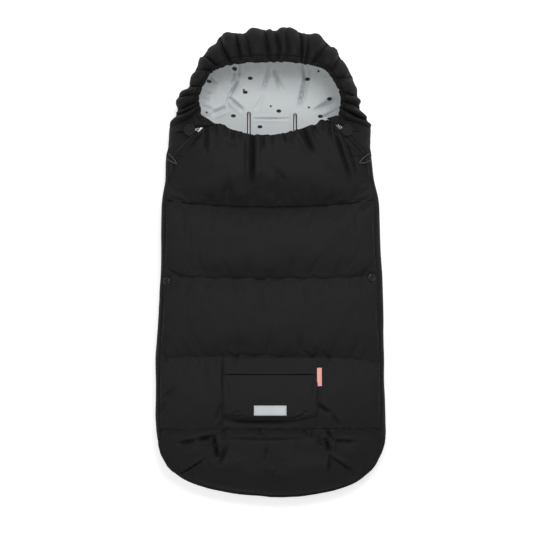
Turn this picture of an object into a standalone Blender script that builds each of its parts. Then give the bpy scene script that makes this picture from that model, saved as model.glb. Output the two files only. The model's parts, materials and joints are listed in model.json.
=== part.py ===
"""Hooded stroller footmuff, lying on its back and zipped shut.

Metres, +Z up. X is across, +Y is the hood end, and the floor of the back is at Z = 0.
The origin is at the middle of the length and width, on the surface it lies on.
"""

import math

import bmesh
import bpy
import numpy as np
from mathutils import Matrix, Vector

# Overall size
LENGTH = 0.940
WIDTH = 0.460
EDGE_RADIUS = 0.036
HOOD_HEIGHT = 0.104
RIM_HEIGHT = 0.060

# Fabric layers
SHELL = 0.0012
LINING = 0.0010
GAP = 0.0003
FLOOR_WADDING = 0.016
WALL_WADDING = 0.009
WALL_MARGIN = 0.001

# Seams across the front, measured from the middle of the length
CHEST_SEAM = 0.115
WAIST_SEAM = -0.033
KNEE_SEAM = -0.187
FOOT_SEAM = -0.331

# Quilting of the front
CROWN = 0.100
FLAP_CROWN = 0.103
SEAM_DIP = 0.012
EDGE_WADDING = 0.0015
CHANNEL_LOFT = 0.020
NECK_SAG = 0.016
NECK_HEM = 0.012
NECK_DROP_SHARE = 0.35
NECK_THIN_SHARE = 0.6
HINGE_RISE = 0.001

# Foot box
FOOT_PUFF = 0.008
PUFF_REACH_SHARE = 1.2

# Hood
HOOD_SPLIT_Y = 0.285
ELASTIC_SHARE = 0.6
ELASTIC_RADIUS = 0.0020
NECK_ELASTIC_RADIUS = 0.0012

# Zips
ZIP_INSET = 0.0085
ZIP_BAR_WIDTH = 0.0027
ZIP_BAR_HEIGHT = 0.0024
ZIP_DROP = 0.0010
ZIP_CENTRE_GAP = 0.0020
ZIP_FOOT_END = 0.010
ZIP_NECK_END = 0.0010
ZIP_FLAP_CLEARANCE = 0.006
STOP_LENGTH = 0.004
SLIDER_LENGTH = 0.014
SLIDER_START = 0.009
SLIDER_PLATE = 0.0016
SLIDER_CLEARANCE = 0.0004
SLIDER_WEB = 0.0014
EAR_WIDTH = 0.0010
EAR_LENGTH = 0.0040
EAR_HEIGHT = 0.0054
EAR_SPACING = 0.0040
PIVOT_RADIUS = 0.0008
PIVOT_CLEARANCE = 0.0003
PIVOT_RISE = 0.0034
PULL_SWING = math.radians(40)
PULL_EYE_RADIUS = 0.0020
PULL_RADIUS = 0.0120
PULL_THICKNESS = 0.0026
PULL_REACH = 0.0185
PULL_NECK_WIDTH = 0.0034
OVERRUN = 0.0004

# Harness slots
SLOT_WIDTH = 0.013
SHOULDER_SLOT_X = 0.049
SHOULDER_SLOT_LOW = 0.150
SHOULDER_SLOT_HIGH = 0.320
CROTCH_SLOT_LOW = -0.110
CROTCH_SLOT_HIGH = -0.020
BINDING = 0.0015
BINDING_CLEARANCE = 0.0003

# Pocket and trim
POCKET_HALF_WIDTH = 0.0945
POCKET_LOW = -0.315
POCKET_SLIT = -0.225
POCKET_ROOM = 0.0080
POCKET_FABRIC = 0.0016
POCKET_CLEARANCE = 0.0006
WELT_DEPTH = 0.004
LABEL_HALF_WIDTH = 0.0325
LABEL_LOW = -0.306
LABEL_HIGH = -0.286
LABEL_THICKNESS = 0.0008
TAB_WIDTH = 0.010
TAB_LOW = -0.248
TAB_HIGH = -0.211
TAB_THICKNESS = 0.0014
SNAP_INSET = 0.0072
CAP_RADIUS = 0.00575
SOCKET_RADIUS = 0.00725
SNAP_THICKNESS = 0.0022
SNAP_BEVEL = 0.0005
SNAP_LEFT_Y = -0.037
SNAP_RIGHT_Y = -0.031
SNAP_LIFT = 0.0012
LOOP_RADIUS = 0.0012
LOOP_DROP = 0.0078
LOOP_SPREAD = 0.010
LOOP_RISE = 0.0035
LOOP_ANGLES = (math.radians(42), math.radians(62), math.radians(82))
LOOP_TIP_SHARES = (0.1, 0.45, 0.75)

# Half outline seen from above, foot to head: shares of half the width and half the length,
# and the share of ZIP_INSET by which the rim lies inside it
OUTLINE_SHARES = (
    (0.00, -1.000, 1.0), (0.28, -0.990, 1.0), (0.53, -0.966, 1.0), (0.69, -0.941, 1.0),
    (0.80, -0.912, 1.0), (0.90, -0.866, 1.0), (0.96, -0.800, 1.0), (0.99, -0.740, 1.0),
    (0.998, -0.660, 1.0), (1.00, -0.587, 1.0), (0.996, -0.417, 1.0), (0.978, -0.247, 1.0),
    (0.965, -0.077, 1.0), (0.952, 0.051, 1.0), (0.939, 0.245, 1.0), (0.904, 0.349, 0.65),
)
# From the shoulder up: outline x and y, then rim x, y and height as a share of HOOD_HEIGHT
HEAD_SHARES = (
    (0.877, 0.457, 0.852, 0.457, 0.635), (0.872, 0.520, 0.724, 0.520, 0.789),
    (0.865, 0.583, 0.596, 0.5830, 0.942), (0.822, 0.626, 0.604, 0.638, 0.965),
    (0.787, 0.689, 0.622, 0.685, 0.98), (0.743, 0.732, 0.609, 0.719, 1.0),
    (0.691, 0.791, 0.565, 0.770, 1.0), (0.613, 0.860, 0.504, 0.817, 1.0),
    (0.565, 0.894, 0.457, 0.834, 1.0), (0.491, 0.928, 0.383, 0.849, 1.0),
    (0.387, 0.970, 0.287, 0.860, 1.0), (0.200, 0.990, 0.148, 0.864, 1.0),
    (0.000, 1.000, 0.000, 0.866, 1.0),
)
TURN_INDEX = len(OUTLINE_SHARES)
NECK_INDEX = TURN_INDEX + 2
STRAIGHT_START = TURN_INDEX - NECK_INDEX - 1
CORNER_INDEX = 4
FOOT_CORNER_Y = OUTLINE_SHARES[CORNER_INDEX][1] * LENGTH / 2
SHOULDER_Y = HEAD_SHARES[0][1] * LENGTH / 2
LOOP_LOW_Y = SHOULDER_Y - LOOP_DROP
LOOP_HIGH_Y = LOOP_LOW_Y + LOOP_SPREAD

# Counts
COLUMNS = 14
CHANNEL_ROWS = 5
FLAP_ROWS = 8
FOOT_ROWS = 8
LOWER_RINGS = 4
UPPER_ROWS = 5
HEM_ROW = 4
POCKET_COLUMNS = 12
PATCH_COLUMNS = 4
ELASTIC_MARGIN_COLUMNS = 3
PIN_SIDES = 16
EYE_SIDES = 20
SNAP_SIDES = 24
DISC_SIDES = 32
DOME_POWER = 2.6
FLAT_STEEPNESS = 2.2
SHARP_ANGLE = math.radians(50)

HINGE_HEIGHT = FLAP_CROWN + HINGE_RISE
ZIP_SLOT = 2 * (ZIP_BAR_WIDTH + GAP) + ZIP_CENTRE_GAP
COVER_PREFIXES = ("cover_", "pocket_", "side_tab", "snap_", "zip_cover_")
FLAP_PREFIXES = ("flap_", "neck_", "zip_flap_")
BACK_COLOUR = (0.020, 0.020, 0.023)
HOOD_COLOUR = (0.012, 0.011, 0.012)
LINING_COLOUR = (0.56, 0.59, 0.60)
WADDING_COLOUR = (0.80, 0.80, 0.78)
METAL_COLOUR = (0.62, 0.62, 0.64)
RUBBER_COLOUR = (0.030, 0.030, 0.034)
ZIP_COLOUR = (0.014, 0.014, 0.016)
LABEL_COLOUR = (0.56, 0.59, 0.60)
CORAL_COLOUR = (0.88, 0.47, 0.38)


def clear_scene():
    """Remove the objects that a new file starts with."""
    for item in list(bpy.data.objects):
        bpy.data.objects.remove(item, do_unlink=True)


def new_collection(name):
    """Add a collection to the scene."""
    collection = bpy.data.collections.new(name)
    bpy.context.scene.collection.children.link(collection)
    return collection


def material(name, colour, roughness, metallic=0.0):
    """A Principled material with one colour."""
    made = bpy.data.materials.new(name)
    made.use_nodes = True
    shader = made.node_tree.nodes["Principled BSDF"]
    shader.inputs["Base Color"].default_value = (*colour, 1.0)
    shader.inputs["Roughness"].default_value = roughness
    shader.inputs["Metallic"].default_value = metallic
    return made


def add_object(name, bm, finish):
    """Turn a bmesh into a named object of the part, with its faces pointing out."""
    bmesh.ops.recalc_face_normals(bm, faces=bm.faces[:])
    if bm.calc_volume(signed=True) < 0:
        bmesh.ops.reverse_faces(bm, faces=bm.faces[:])
    mesh = bpy.data.meshes.new(name)
    bm.to_mesh(mesh)
    bm.free()
    mesh.shade_smooth()
    mesh.set_sharp_from_angle(angle=SHARP_ANGLE)
    made = bpy.data.objects.new(name, mesh)
    made.data.materials.append(material(name, *finish))
    PARTS.objects.link(made)
    return made


def grid_solid(name, columns, rows, upper, lower, finish):
    """A closed sheet: upper(i, j) and lower(i, j) place its two faces on one grid."""
    bm = bmesh.new()
    bmesh.ops.create_grid(bm, x_segments=columns, y_segments=rows, size=1)
    made = bmesh.ops.extrude_face_region(bm, geom=bm.faces[:])
    top = {item for item in made["geom"] if isinstance(item, bmesh.types.BMVert)}
    steps = {}
    for vert in bm.verts:
        i = round((vert.co.x + 1) / 2 * columns)
        j = round((vert.co.y + 1) / 2 * rows)
        steps[vert] = i + j
        vert.co = upper(i, j) if vert in top else lower(i, j)
    for face in bm.faces[:]:
        order = sorted(face.verts, key=steps.get)
        if steps[order[-1]] - steps[order[0]] == 2:
            bmesh.utils.face_split(face, order[0], order[-1])
    return add_object(name, bm, finish)


def loft(name, loops, finish):
    """A closed solid skinned over rings of points, with a flat cap at each end."""
    bm = bmesh.new()
    rings = [[bm.verts.new(point) for point in loop] for loop in loops]
    for number, (low, high) in enumerate(zip(rings, rings[1:])):
        if number >= len(loops) // 2:
            low, high = high, low
        for k in range(len(low)):
            after = (k + 1) % len(low)
            bm.faces.new((low[k], low[after], high[after]))
            bm.faces.new((low[k], high[after], high[k]))
    bm.faces.new(rings[0])
    bm.faces.new(rings[-1])
    return add_object(name, bm, finish)


def tube(name, points, radius, finish):
    """A round cord through points, with filled ends."""
    curve = bpy.data.curves.new(name, "CURVE")
    curve.dimensions = "3D"
    curve.bevel_depth = radius
    curve.bevel_resolution = 2
    curve.use_fill_caps = True
    spline = curve.splines.new("POLY")
    spline.points.add(len(points) - 1)
    for spot, point in zip(spline.points, points):
        spot.co = (*point, 1.0)
    made = bpy.data.objects.new(name, curve)
    curve.materials.append(material(name, *finish))
    PARTS.objects.link(made)
    return made


def cutter(name, bm):
    """A solid that only cuts or joins others."""
    mesh = bpy.data.meshes.new(name)
    bm.to_mesh(mesh)
    bm.free()
    made = bpy.data.objects.new(name, mesh)
    made.hide_render = True
    made.display_type = "WIRE"
    CUTTERS.objects.link(made)
    return made


def box_mesh(low, high):
    """A bmesh box between two corners."""
    bm = bmesh.new()
    bmesh.ops.create_cube(bm, size=1)
    low, high = Vector(low), Vector(high)
    size = high - low
    bmesh.ops.scale(bm, vec=size, verts=bm.verts[:])
    bmesh.ops.translate(bm, vec=(low + high) / 2, verts=bm.verts[:])
    return bm


def cylinder_mesh(radius, height, matrix, sides):
    """A bmesh cylinder, centred on the matrix and standing along its Z."""
    bm = bmesh.new()
    bmesh.ops.create_cone(
        bm, cap_ends=True, segments=sides, radius1=radius, radius2=radius, depth=height,
        matrix=matrix,
    )
    return bm


def boolean(target, tool, operation):
    """Cut or join with an exact Boolean modifier."""
    modifier = target.modifiers.new(tool.name, "BOOLEAN")
    modifier.operation = operation
    modifier.solver = "EXACT"
    modifier.object = tool


def hang_on(carrier, place, pieces):
    """Parent pieces to what carries them, so that they stay where they are."""
    for piece in pieces:
        piece.parent = carrier
        piece.matrix_parent_inverse = place.inverted()


def lerp(a, b, share):
    """A value between a and b."""
    return a + (b - a) * share


def smooth(share):
    """A share eased at both ends."""
    share = min(1.0, max(0.0, share))
    return share * share * (3 - 2 * share)


def inward(before, after):
    """The unit normal to the left of a step in plan."""
    step = after - before
    return np.array((-step[1], step[0])) / np.linalg.norm(step)


def make_stations():
    """Outline, rim, rim height and wall wadding at each station of the right half."""
    half = np.array((WIDTH / 2, LENGTH / 2))
    outline = [np.array(row[:2]) * half for row in OUTLINE_SHARES + HEAD_SHARES]
    mirror = np.array((-1.0, 1.0))
    padded = [outline[1] * mirror] + outline + [outline[-2] * mirror]
    rim, height = [], []
    for k, row in enumerate(OUTLINE_SHARES):
        rim.append(outline[k] + inward(padded[k], padded[k + 2]) * ZIP_INSET * row[2])
        height.append(RIM_HEIGHT)
    for row in HEAD_SHARES:
        rim.append(np.array(row[2:4]) * half)
        height.append(row[4] * HOOD_HEIGHT)
    share = (rim[TURN_INDEX + 1][1] - rim[TURN_INDEX][1]) / (rim[NECK_INDEX][1] - rim[TURN_INDEX][1])
    rim[TURN_INDEX + 1] = lerp(rim[TURN_INDEX], rim[NECK_INDEX], share)
    height[TURN_INDEX + 1] = lerp(height[TURN_INDEX], height[NECK_INDEX], share)
    spans = [np.linalg.norm(r - p) for r, p in zip(rim, outline)]
    taken = SHELL + LINING + 3 * GAP + WALL_MARGIN
    wadding = [min(WALL_WADDING, span - taken) for span in spans]
    normals = [inward(a, b) for a, b in zip(padded, padded[2:])]
    return [np.array(rows) for rows in (outline, rim, height, wadding, normals)]


def station(t):
    """Outline, rim, rim height, wadding and inward normal at a place between stations."""
    low = min(int(t), len(OUTLINE) - 2)
    share = t - low
    rows = (OUTLINE, RIM, HEIGHT, WADDING, NORMALS)
    return tuple(lerp(row[low], row[low + 1], share) for row in rows)


def station_at(y):
    """The station number where the outline crosses y."""
    return float(np.interp(y, OUTLINE[:, 1], np.arange(len(OUTLINE))))


def lower_point(t, ring, depth):
    """A point of the rolled lower edge; ring runs from 0 on the floor to 1 at the widest line."""
    outline, _, _, _, normal = station(t)
    angle = math.radians(90) * (ring - 1)
    inset = EDGE_RADIUS - (EDGE_RADIUS - depth) * math.cos(angle)
    x, y = outline + normal * inset
    return np.array((x, y, EDGE_RADIUS + (EDGE_RADIUS - depth) * math.sin(angle)))


def upper_point(t, angle, depth):
    """A point of the wall from the widest line up and in to the rim."""
    outline, rim, height, _, _ = station(t)
    span = np.linalg.norm(rim - outline)
    way = (rim - outline) / span
    x, y = outline + way * (span - (span - depth) * math.cos(angle))
    base = EDGE_RADIUS + GAP
    return np.array((x, y, base + (height - base - depth) * math.sin(angle)))


def layer_depths(t, ring=1.0):
    """Depths of the layer faces under the outer skin: shell, wadding and lining."""
    wadding = lerp(FLOOR_WADDING, station(t)[3], ring)
    wadding_top = SHELL + GAP
    lining_top = wadding_top + wadding + GAP
    return {
        "shell": (0.0, SHELL),
        "wadding": (wadding_top, wadding_top + wadding),
        "lining": (lining_top, lining_top + LINING),
    }


def mirrored(point):
    """The same point on the other side."""
    return np.array((-point[0], point[1], point[2]))


def tray(name, layer, finish):
    """One layer of the floor and the rolled lower edge, closed all round."""
    last = len(OUTLINE) - 1
    loops = []
    rings = [k / LOWER_RINGS for k in range(LOWER_RINGS + 1)]
    for face, order in ((0, rings), (1, rings[::-1])):
        for ring in order:
            right = [lower_point(t, ring, layer_depths(t, ring)[layer][face])
                     for t in range(last + 1)]
            left = [mirrored(point) for point in right[-2:0:-1]]
            loops.append(right + left)
    return loft(name, loops, finish)


def wall(name, places, layer, finish, rows=None, side=1):
    """One layer of the upper wall along stations; negative places are on the left side."""
    rows = rows or UPPER_ROWS
    def point(i, j, face):
        t = abs(places[i])
        angle = math.pi / 2 * j / UPPER_ROWS
        made = upper_point(t, angle, layer_depths(t)[layer][face])
        flip = side if places[i] >= 0 else -side
        return made if flip > 0 else mirrored(made)
    return grid_solid(
        name, len(places) - 1, rows,
        lambda i, j: point(i, j, 0), lambda i, j: point(i, j, 1), finish,
    )


def rim_line(offset):
    """The rim from foot to neck corner, moved inward in plan by offset: x, y, z rows."""
    rim = RIM[CORNER_INDEX:NECK_INDEX + 1]
    normals = [inward(a, b) for a, b in zip(rim, rim[1:])]
    normals = [normals[0]] + normals + [normals[-1]]
    rows = []
    for k, point in enumerate(rim):
        before, after = normals[k], normals[k + 1]
        mitre = (before + after) / (1 + float(before @ after))
        rows.append((*(point + mitre * offset), HEIGHT[CORNER_INDEX + k]))
    return np.array(rows)


def on_line(line, y):
    """The point of a rim line at y."""
    x = np.interp(y, line[:, 1], line[:, 0])
    z = np.interp(y, line[:, 1], line[:, 2])
    return np.array((x, y, z))


def bulge(share):
    """Rounding of a stuffed channel, from 0 at its seams to 1 in the middle."""
    return math.sqrt(max(0.0, 1 - (2 * share - 1) ** 2))


def panel_row(y, crown, top, thick):
    """One row across the front: its place, edge and how full it is there."""
    edge = on_line(rim_line(ZIP_SLOT), y)
    neck_y = rim_line(ZIP_SLOT)[-1][1]
    sag = NECK_SAG * smooth((y - CHEST_SEAM) / (neck_y - CHEST_SEAM))
    flat = smooth((y - CHEST_SEAM) / (neck_y - CHEST_SEAM) * 2)
    return (y, edge[0], edge[2], crown, top, thick, sag, flat)


def cover_rows():
    """Rows of the cover, foot seam to chest seam, through three channels."""
    seams = (FOOT_SEAM, KNEE_SEAM, WAIST_SEAM, CHEST_SEAM)
    rows = []
    for low, high in zip(seams, seams[1:]):
        for k in range(CHANNEL_ROWS + 1):
            share = (1 - math.cos(math.pi * k / CHANNEL_ROWS)) / 2
            if k > 0 or not rows:
                full = bulge(share)
                rows.append(panel_row(lerp(low, high, share), CROWN, full, full))
    return np.array(rows)


def flap_rows():
    """Rows of the chest flap, from its seam to the gathered neck edge."""
    neck_y = rim_line(ZIP_SLOT)[-1][1]
    rows = []
    shares = [(1 - math.cos(math.pi * k / FLAP_ROWS)) / 2 for k in range(FLAP_ROWS + 1)]
    shares.append(1 - NECK_HEM / (neck_y - CHEST_SEAM))
    for share in sorted(shares):
        late = max(0.0, 2 * share - 1)
        top = 1 - NECK_DROP_SHARE * late ** 4 if late > 0 else bulge(share)
        thick = 1 - NECK_THIN_SHARE * late ** 2 if late > 0 else bulge(share)
        rows.append(panel_row(lerp(CHEST_SEAM, neck_y, share), FLAP_CROWN, top, thick))
    return np.array(rows)


def half_width(rows, y):
    """Half the width of a front panel at y."""
    return float(np.interp(y, rows[:, 0], rows[:, 1]))


def row_point(row, u, depth):
    """A point of a row across a front panel, at one of the layer faces that depth names."""
    y, half, edge, crown, top, thick, sag, flat = row
    puffy = math.sqrt(max(0.0, 1 - u * u))
    flatter = smooth(FLAT_STEEPNESS * (1 - abs(u)))
    profile = lerp(puffy, flatter, flat)
    peak = crown - SEAM_DIP * (1 - top)
    z = edge + (peak - edge) * profile
    total = SHELL + LINING + 2 * GAP + EDGE_WADDING + CHANNEL_LOFT * thick * profile
    levels = {
        "top": 0.0,
        "shell": SHELL,
        "wadding_top": SHELL + GAP,
        "wadding_bottom": total - LINING - GAP,
        "lining": total - LINING,
        "bottom": total,
    }
    return np.array((u * half, y - sag * (1 - u * u), z - levels[depth]))


def panel_point(rows, u, y, depth):
    """A point of a front panel at y, straight between its own rows."""
    low = int(np.clip(np.searchsorted(rows[:, 0], y) - 1, 0, len(rows) - 2))
    share = (y - rows[low, 0]) / (rows[low + 1, 0] - rows[low, 0])
    return lerp(row_point(rows[low], u, depth), row_point(rows[low + 1], u, depth), share)


def column(i):
    """Places across a panel, closer together towards its edges."""
    return math.sin(math.pi / 2 * (2 * i / COLUMNS - 1))


def panel(name, rows, low, high, faces, finish):
    """One layer of a front panel between two values of y."""
    inner = [y for y in rows[:, 0] if low + GAP < y < high - GAP]
    places = [low, *inner, high]
    return grid_solid(
        name, COLUMNS, len(places) - 1,
        lambda i, j: panel_point(rows, column(i), places[j], faces[0]),
        lambda i, j: panel_point(rows, column(i), places[j], faces[1]),
        finish,
    )


def dome_point(i, j, depth):
    """A point of the foot box, from the foot seam down to the widest line."""
    v = math.sin(math.pi / 2 * j / FOOT_ROWS)
    u = column(i)
    side_y = lerp(FOOT_SEAM, FOOT_CORNER_Y, v)
    half = np.interp(side_y, OUTLINE[:, 1], OUTLINE[:, 0])
    x = u * half
    foot = OUTLINE[:CORNER_INDEX + 2]
    foot_y = np.interp(abs(x), foot[:, 0], foot[:, 1])
    y = side_y + v * v * (min(foot_y, FOOT_CORNER_Y) - FOOT_CORNER_Y)
    across = (1 - abs(u) ** DOME_POWER) ** (1 / DOME_POWER)
    along = (1 - v ** DOME_POWER) ** (1 / DOME_POWER)
    peak = CROWN - SEAM_DIP + FOOT_PUFF * math.sin(math.pi * min(1.0, v * PUFF_REACH_SHARE))
    base = EDGE_RADIUS + GAP
    z = base + (peak - base - depth) * across * along
    return np.array((u * (half - depth), y + depth * v, z))


def foot_layer(name, layer, finish):
    """One layer of the foot box."""
    outer, inner = layer_depths(NECK_INDEX)[layer]
    return grid_solid(
        name, COLUMNS, FOOT_ROWS,
        lambda i, j: dome_point(i, j, outer), lambda i, j: dome_point(i, j, inner), finish,
    )


def zip_bar(name, near, low, high, side):
    """Half a zip: a bar along the rim, near being its distance from the rim."""
    first, second = rim_line(near), rim_line(near + ZIP_BAR_WIDTH)
    inner = [k for k in range(len(first)) if low < first[k][1] < high and low < second[k][1] < high]
    pairs = [(on_line(first, low), on_line(second, low))]
    pairs += [(first[k], second[k]) for k in inner]
    pairs += [(on_line(first, high), on_line(second, high))]
    loops = []
    for a, b in pairs:
        top = np.array((0, 0, -ZIP_DROP))
        bottom = np.array((0, 0, -ZIP_DROP - ZIP_BAR_HEIGHT))
        loop = [a + top, b + top, b + bottom, a + bottom]
        loops.append([point if side > 0 else mirrored(point) for point in loop])
    return loft(name, loops, ZIP)


def slider_frame(side):
    """Origin and axes of a slider: along its zip, across it, and up."""
    line = rim_line(ZIP_SLOT / 2)
    neck, turn = Vector(line[-1]), Vector(line[STRAIGHT_START])
    if side < 0:
        neck.x, turn.x = -neck.x, -turn.x
    along = (turn - neck).normalized()
    across = Vector((0, 0, 1)).cross(along).normalized()
    up = along.cross(across).normalized()
    origin = neck + along * SLIDER_START
    frame = Matrix((along, across, up)).transposed().to_4x4()
    frame.translation = origin
    return frame


def make_slider(name, side):
    """A zip slider: two plates on a web, with two ears and a cross pin for the pull."""
    half = SLIDER_LENGTH / 2
    wide = (ZIP_SLOT - 2 * GAP) / 2
    under = -ZIP_DROP + SLIDER_CLEARANCE
    top = under + SLIDER_PLATE
    low = -ZIP_DROP - ZIP_BAR_HEIGHT - SLIDER_CLEARANCE
    bm = box_mesh((-half, -wide, under), (half, wide, top))
    body = add_object(name, bm, METAL)
    pieces = {
        "web": box_mesh((-half, -SLIDER_WEB / 2, low - OVERRUN), (half, SLIDER_WEB / 2, under + OVERRUN)),
        "plate": box_mesh((-half, -wide, low - SLIDER_PLATE), (half, wide, low)),
    }
    for word, sign in (("ear_a", -1), ("ear_b", 1)):
        near = sign * EAR_SPACING / 2
        far = near + sign * EAR_WIDTH
        pieces[word] = box_mesh(
            (-EAR_LENGTH / 2, min(near, far), top - OVERRUN),
            (EAR_LENGTH / 2, max(near, far), top + EAR_HEIGHT),
        )
    swung = slider_frame(side) @ Matrix.Rotation(side * PULL_SWING, 4, "Z")
    pin = Matrix.Translation((0, 0, top + PIVOT_RISE)) @ Matrix.Rotation(math.pi / 2, 4, "X")
    pieces["pin"] = cylinder_mesh(PIVOT_RADIUS, EAR_SPACING + EAR_WIDTH, pin, PIN_SIDES)
    frame = slider_frame(side)
    body.matrix_world = frame
    for word, mesh in pieces.items():
        tool = cutter(f"{name}_{word}", mesh)
        tool.matrix_world = frame if word in ("web", "plate") else swung
        boolean(body, tool, "UNION")
    return body


def make_pull(name, side):
    """A zip pull: a rubber disc on a neck, with an eye round the slider's pin."""
    rise = -ZIP_DROP + SLIDER_CLEARANCE + SLIDER_PLATE + PIVOT_RISE
    frame = slider_frame(side) @ Matrix.Rotation(side * PULL_SWING, 4, "Z")
    frame = frame @ Matrix.Translation((0, 0, rise))
    place = Matrix.Translation((PULL_REACH, 0, 0))
    disc = cylinder_mesh(PULL_RADIUS, PULL_THICKNESS, place, DISC_SIDES)
    body = add_object(name, disc, RUBBER)
    body.matrix_world = frame
    cross = Matrix.Rotation(math.pi / 2, 4, "X")
    start = PIVOT_RADIUS + PIVOT_CLEARANCE
    pieces = (
        ("eye", cylinder_mesh(PULL_EYE_RADIUS, PULL_NECK_WIDTH, cross, EYE_SIDES), "UNION"),
        ("neck", box_mesh(
            (start, -PULL_NECK_WIDTH / 2, -PULL_THICKNESS / 2 + OVERRUN),
            (PULL_REACH - PULL_RADIUS / 2, PULL_NECK_WIDTH / 2, PULL_THICKNESS / 2 - OVERRUN),
        ), "UNION"),
        ("hole", cylinder_mesh(start, EAR_SPACING * 2, cross, PIN_SIDES), "DIFFERENCE"),
    )
    for word, mesh, operation in pieces:
        tool = cutter(f"{name}_{word}", mesh)
        tool.matrix_world = frame
        boolean(body, tool, operation)
    return body


def make_back():
    """Floor and rolled edge of the back, with the harness slots cut through all layers."""
    layers = [
        tray("back_outer", "shell", SHELL_FABRIC),
        tray("back_wadding", "wadding", SOFT_FILL),
        tray("back_lining", "lining", LINING_FABRIC),
    ]
    top = SHELL + FLOOR_WADDING + 2 * GAP + LINING
    slots = (
        ("harness_slot_binding_left", -SHOULDER_SLOT_X, SHOULDER_SLOT_LOW, SHOULDER_SLOT_HIGH),
        ("harness_slot_binding_right", SHOULDER_SLOT_X, SHOULDER_SLOT_LOW, SHOULDER_SLOT_HIGH),
        ("crotch_slot_binding", 0.0, CROTCH_SLOT_LOW, CROTCH_SLOT_HIGH),
    )
    for name, x, low, high in slots:
        half = SLOT_WIDTH / 2
        cut = cutter(f"{name}_cut", box_mesh((x - half, low, -top), (x + half, high, 2 * top)))
        for layer in layers:
            boolean(layer, cut, "DIFFERENCE")
        edge = BINDING_CLEARANCE
        frame = add_object(name, box_mesh(
            (x - half + edge, low + edge, SHELL / 2), (x + half - edge, high - edge, top),
        ), TRIM)
        edge = BINDING_CLEARANCE + BINDING
        inner = cutter(f"{name}_inner", box_mesh(
            (x - half + edge, low + edge, -top), (x + half - edge, high - edge, 2 * top),
        ))
        boolean(frame, inner, "DIFFERENCE")


def make_walls():
    """Side panels and hood above the widest line, each in three layers."""
    split = station_at(HOOD_SPLIT_Y)
    start = station_at(FOOT_SEAM + GAP)
    places = [start] + [t for t in range(len(OUTLINE)) if start < t < split]
    places += [station_at(HOOD_SPLIT_Y - GAP)]
    for word, side in (("left", -1), ("right", 1)):
        wall(f"side_panel_outer_{word}", places, "shell", SHELL_FABRIC, side=side)
        wall(f"side_panel_wadding_{word}", places, "wadding", SOFT_FILL, side=side)
        wall(f"side_panel_lining_{word}", places, "lining", LINING_FABRIC, side=side)
    right = [split] + [t for t in range(len(OUTLINE)) if t > split]
    around = right + [-t for t in right[-2::-1]]
    wall("hood_outer", around, "shell", HOOD_FABRIC)
    wall("hood_wadding", around, "wadding", SOFT_FILL, rows=HEM_ROW)
    wall("hood_lining", around, "lining", LINING_FABRIC)
    points = []
    depth = SHELL + 2 * GAP + ELASTIC_RADIUS
    hem_angle = math.pi / 2 * HEM_ROW / UPPER_ROWS
    for t in around[1:-1]:
        hem, rim = (upper_point(abs(t), angle, depth) for angle in (hem_angle, math.pi / 2))
        point = lerp(hem, rim, ELASTIC_SHARE)
        points.append(point if t >= 0 else mirrored(point))
    tube("hood_elastic", points, ELASTIC_RADIUS, ELASTIC)


def make_foot():
    """The closed foot end, in three layers."""
    foot_layer("foot_outer", "shell", SHELL_FABRIC)
    foot_layer("foot_wadding", "wadding", SOFT_FILL)
    foot_layer("foot_lining", "lining", LINING_FABRIC)


def make_front():
    """The zipped cover and the chest flap, quilted in channels."""
    rows = cover_rows()
    low, high = FOOT_SEAM + GAP, CHEST_SEAM - GAP
    panel("cover_outer", rows, low, high, ("top", "shell"), SHELL_FABRIC)
    panel("cover_lining", rows, low, high, ("lining", "bottom"), LINING_FABRIC)
    seams = (FOOT_SEAM, KNEE_SEAM, WAIST_SEAM, CHEST_SEAM)
    for word, start, end in zip(("shin", "thigh", "lap"), seams, seams[1:]):
        panel(f"cover_filling_{word}", rows, start + GAP, end - GAP,
              ("wadding_top", "wadding_bottom"), SOFT_FILL)
    rows = flap_rows()
    low, high = CHEST_SEAM, rows[-1][0]
    panel("flap_outer", rows, low, high, ("top", "shell"), SHELL_FABRIC)
    panel("flap_lining", rows, low, high, ("lining", "bottom"), LINING_FABRIC)
    panel("flap_filling", rows, low, high - NECK_HEM, ("wadding_top", "wadding_bottom"), SOFT_FILL)
    hem_y = high - NECK_HEM / 2
    drop = np.array((0, 0, -2 * GAP - NECK_ELASTIC_RADIUS))
    span = range(ELASTIC_MARGIN_COLUMNS, COLUMNS + 1 - ELASTIC_MARGIN_COLUMNS)
    points = [panel_point(rows, column(i), hem_y, "shell") + drop for i in span]
    tube("neck_elastic", points, NECK_ELASTIC_RADIUS, ELASTIC)


def make_zips():
    """Both zips: a back half, a cover half and a flap half each, with sliders and stops."""
    foot = FOOT_SEAM + ZIP_FOOT_END
    neck_y = rim_line(GAP)[-1][1]
    far = GAP + ZIP_BAR_WIDTH + ZIP_CENTRE_GAP
    line = rim_line(ZIP_SLOT / 2)
    way = line[-1] - line[STRAIGHT_START]
    way = way / np.linalg.norm(way)
    clear = line[-1][1] - way[1] * (SLIDER_START + SLIDER_LENGTH / 2 + ZIP_FLAP_CLEARANCE)
    for word, side in (("left", -1), ("right", 1)):
        zip_bar(f"zip_back_{word}", GAP, foot, neck_y - ZIP_NECK_END, side)
        zip_bar(f"zip_cover_{word}", far, foot, CHEST_SEAM - GAP, side)
        zip_bar(f"zip_flap_{word}", far, CHEST_SEAM, clear, side)
        slider = make_slider(f"zip_slider_{word}", side)
        pull = make_pull(f"zip_pull_{word}", side)
        hang_on(slider, slider_frame(side), [pull])
        low, high = foot - GAP - STOP_LENGTH, foot - GAP
        outer = min(on_line(rim_line(GAP), y)[0] for y in (low, high))
        inner = max(on_line(rim_line(ZIP_SLOT - GAP), y)[0] for y in (low, high))
        top = RIM_HEIGHT - ZIP_DROP
        corners = sorted((outer * side, inner * side))
        add_object(f"zip_bottom_stop_{word}", box_mesh(
            (corners[0], low, top - ZIP_BAR_HEIGHT), (corners[1], high, top),
        ), METAL)


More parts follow.
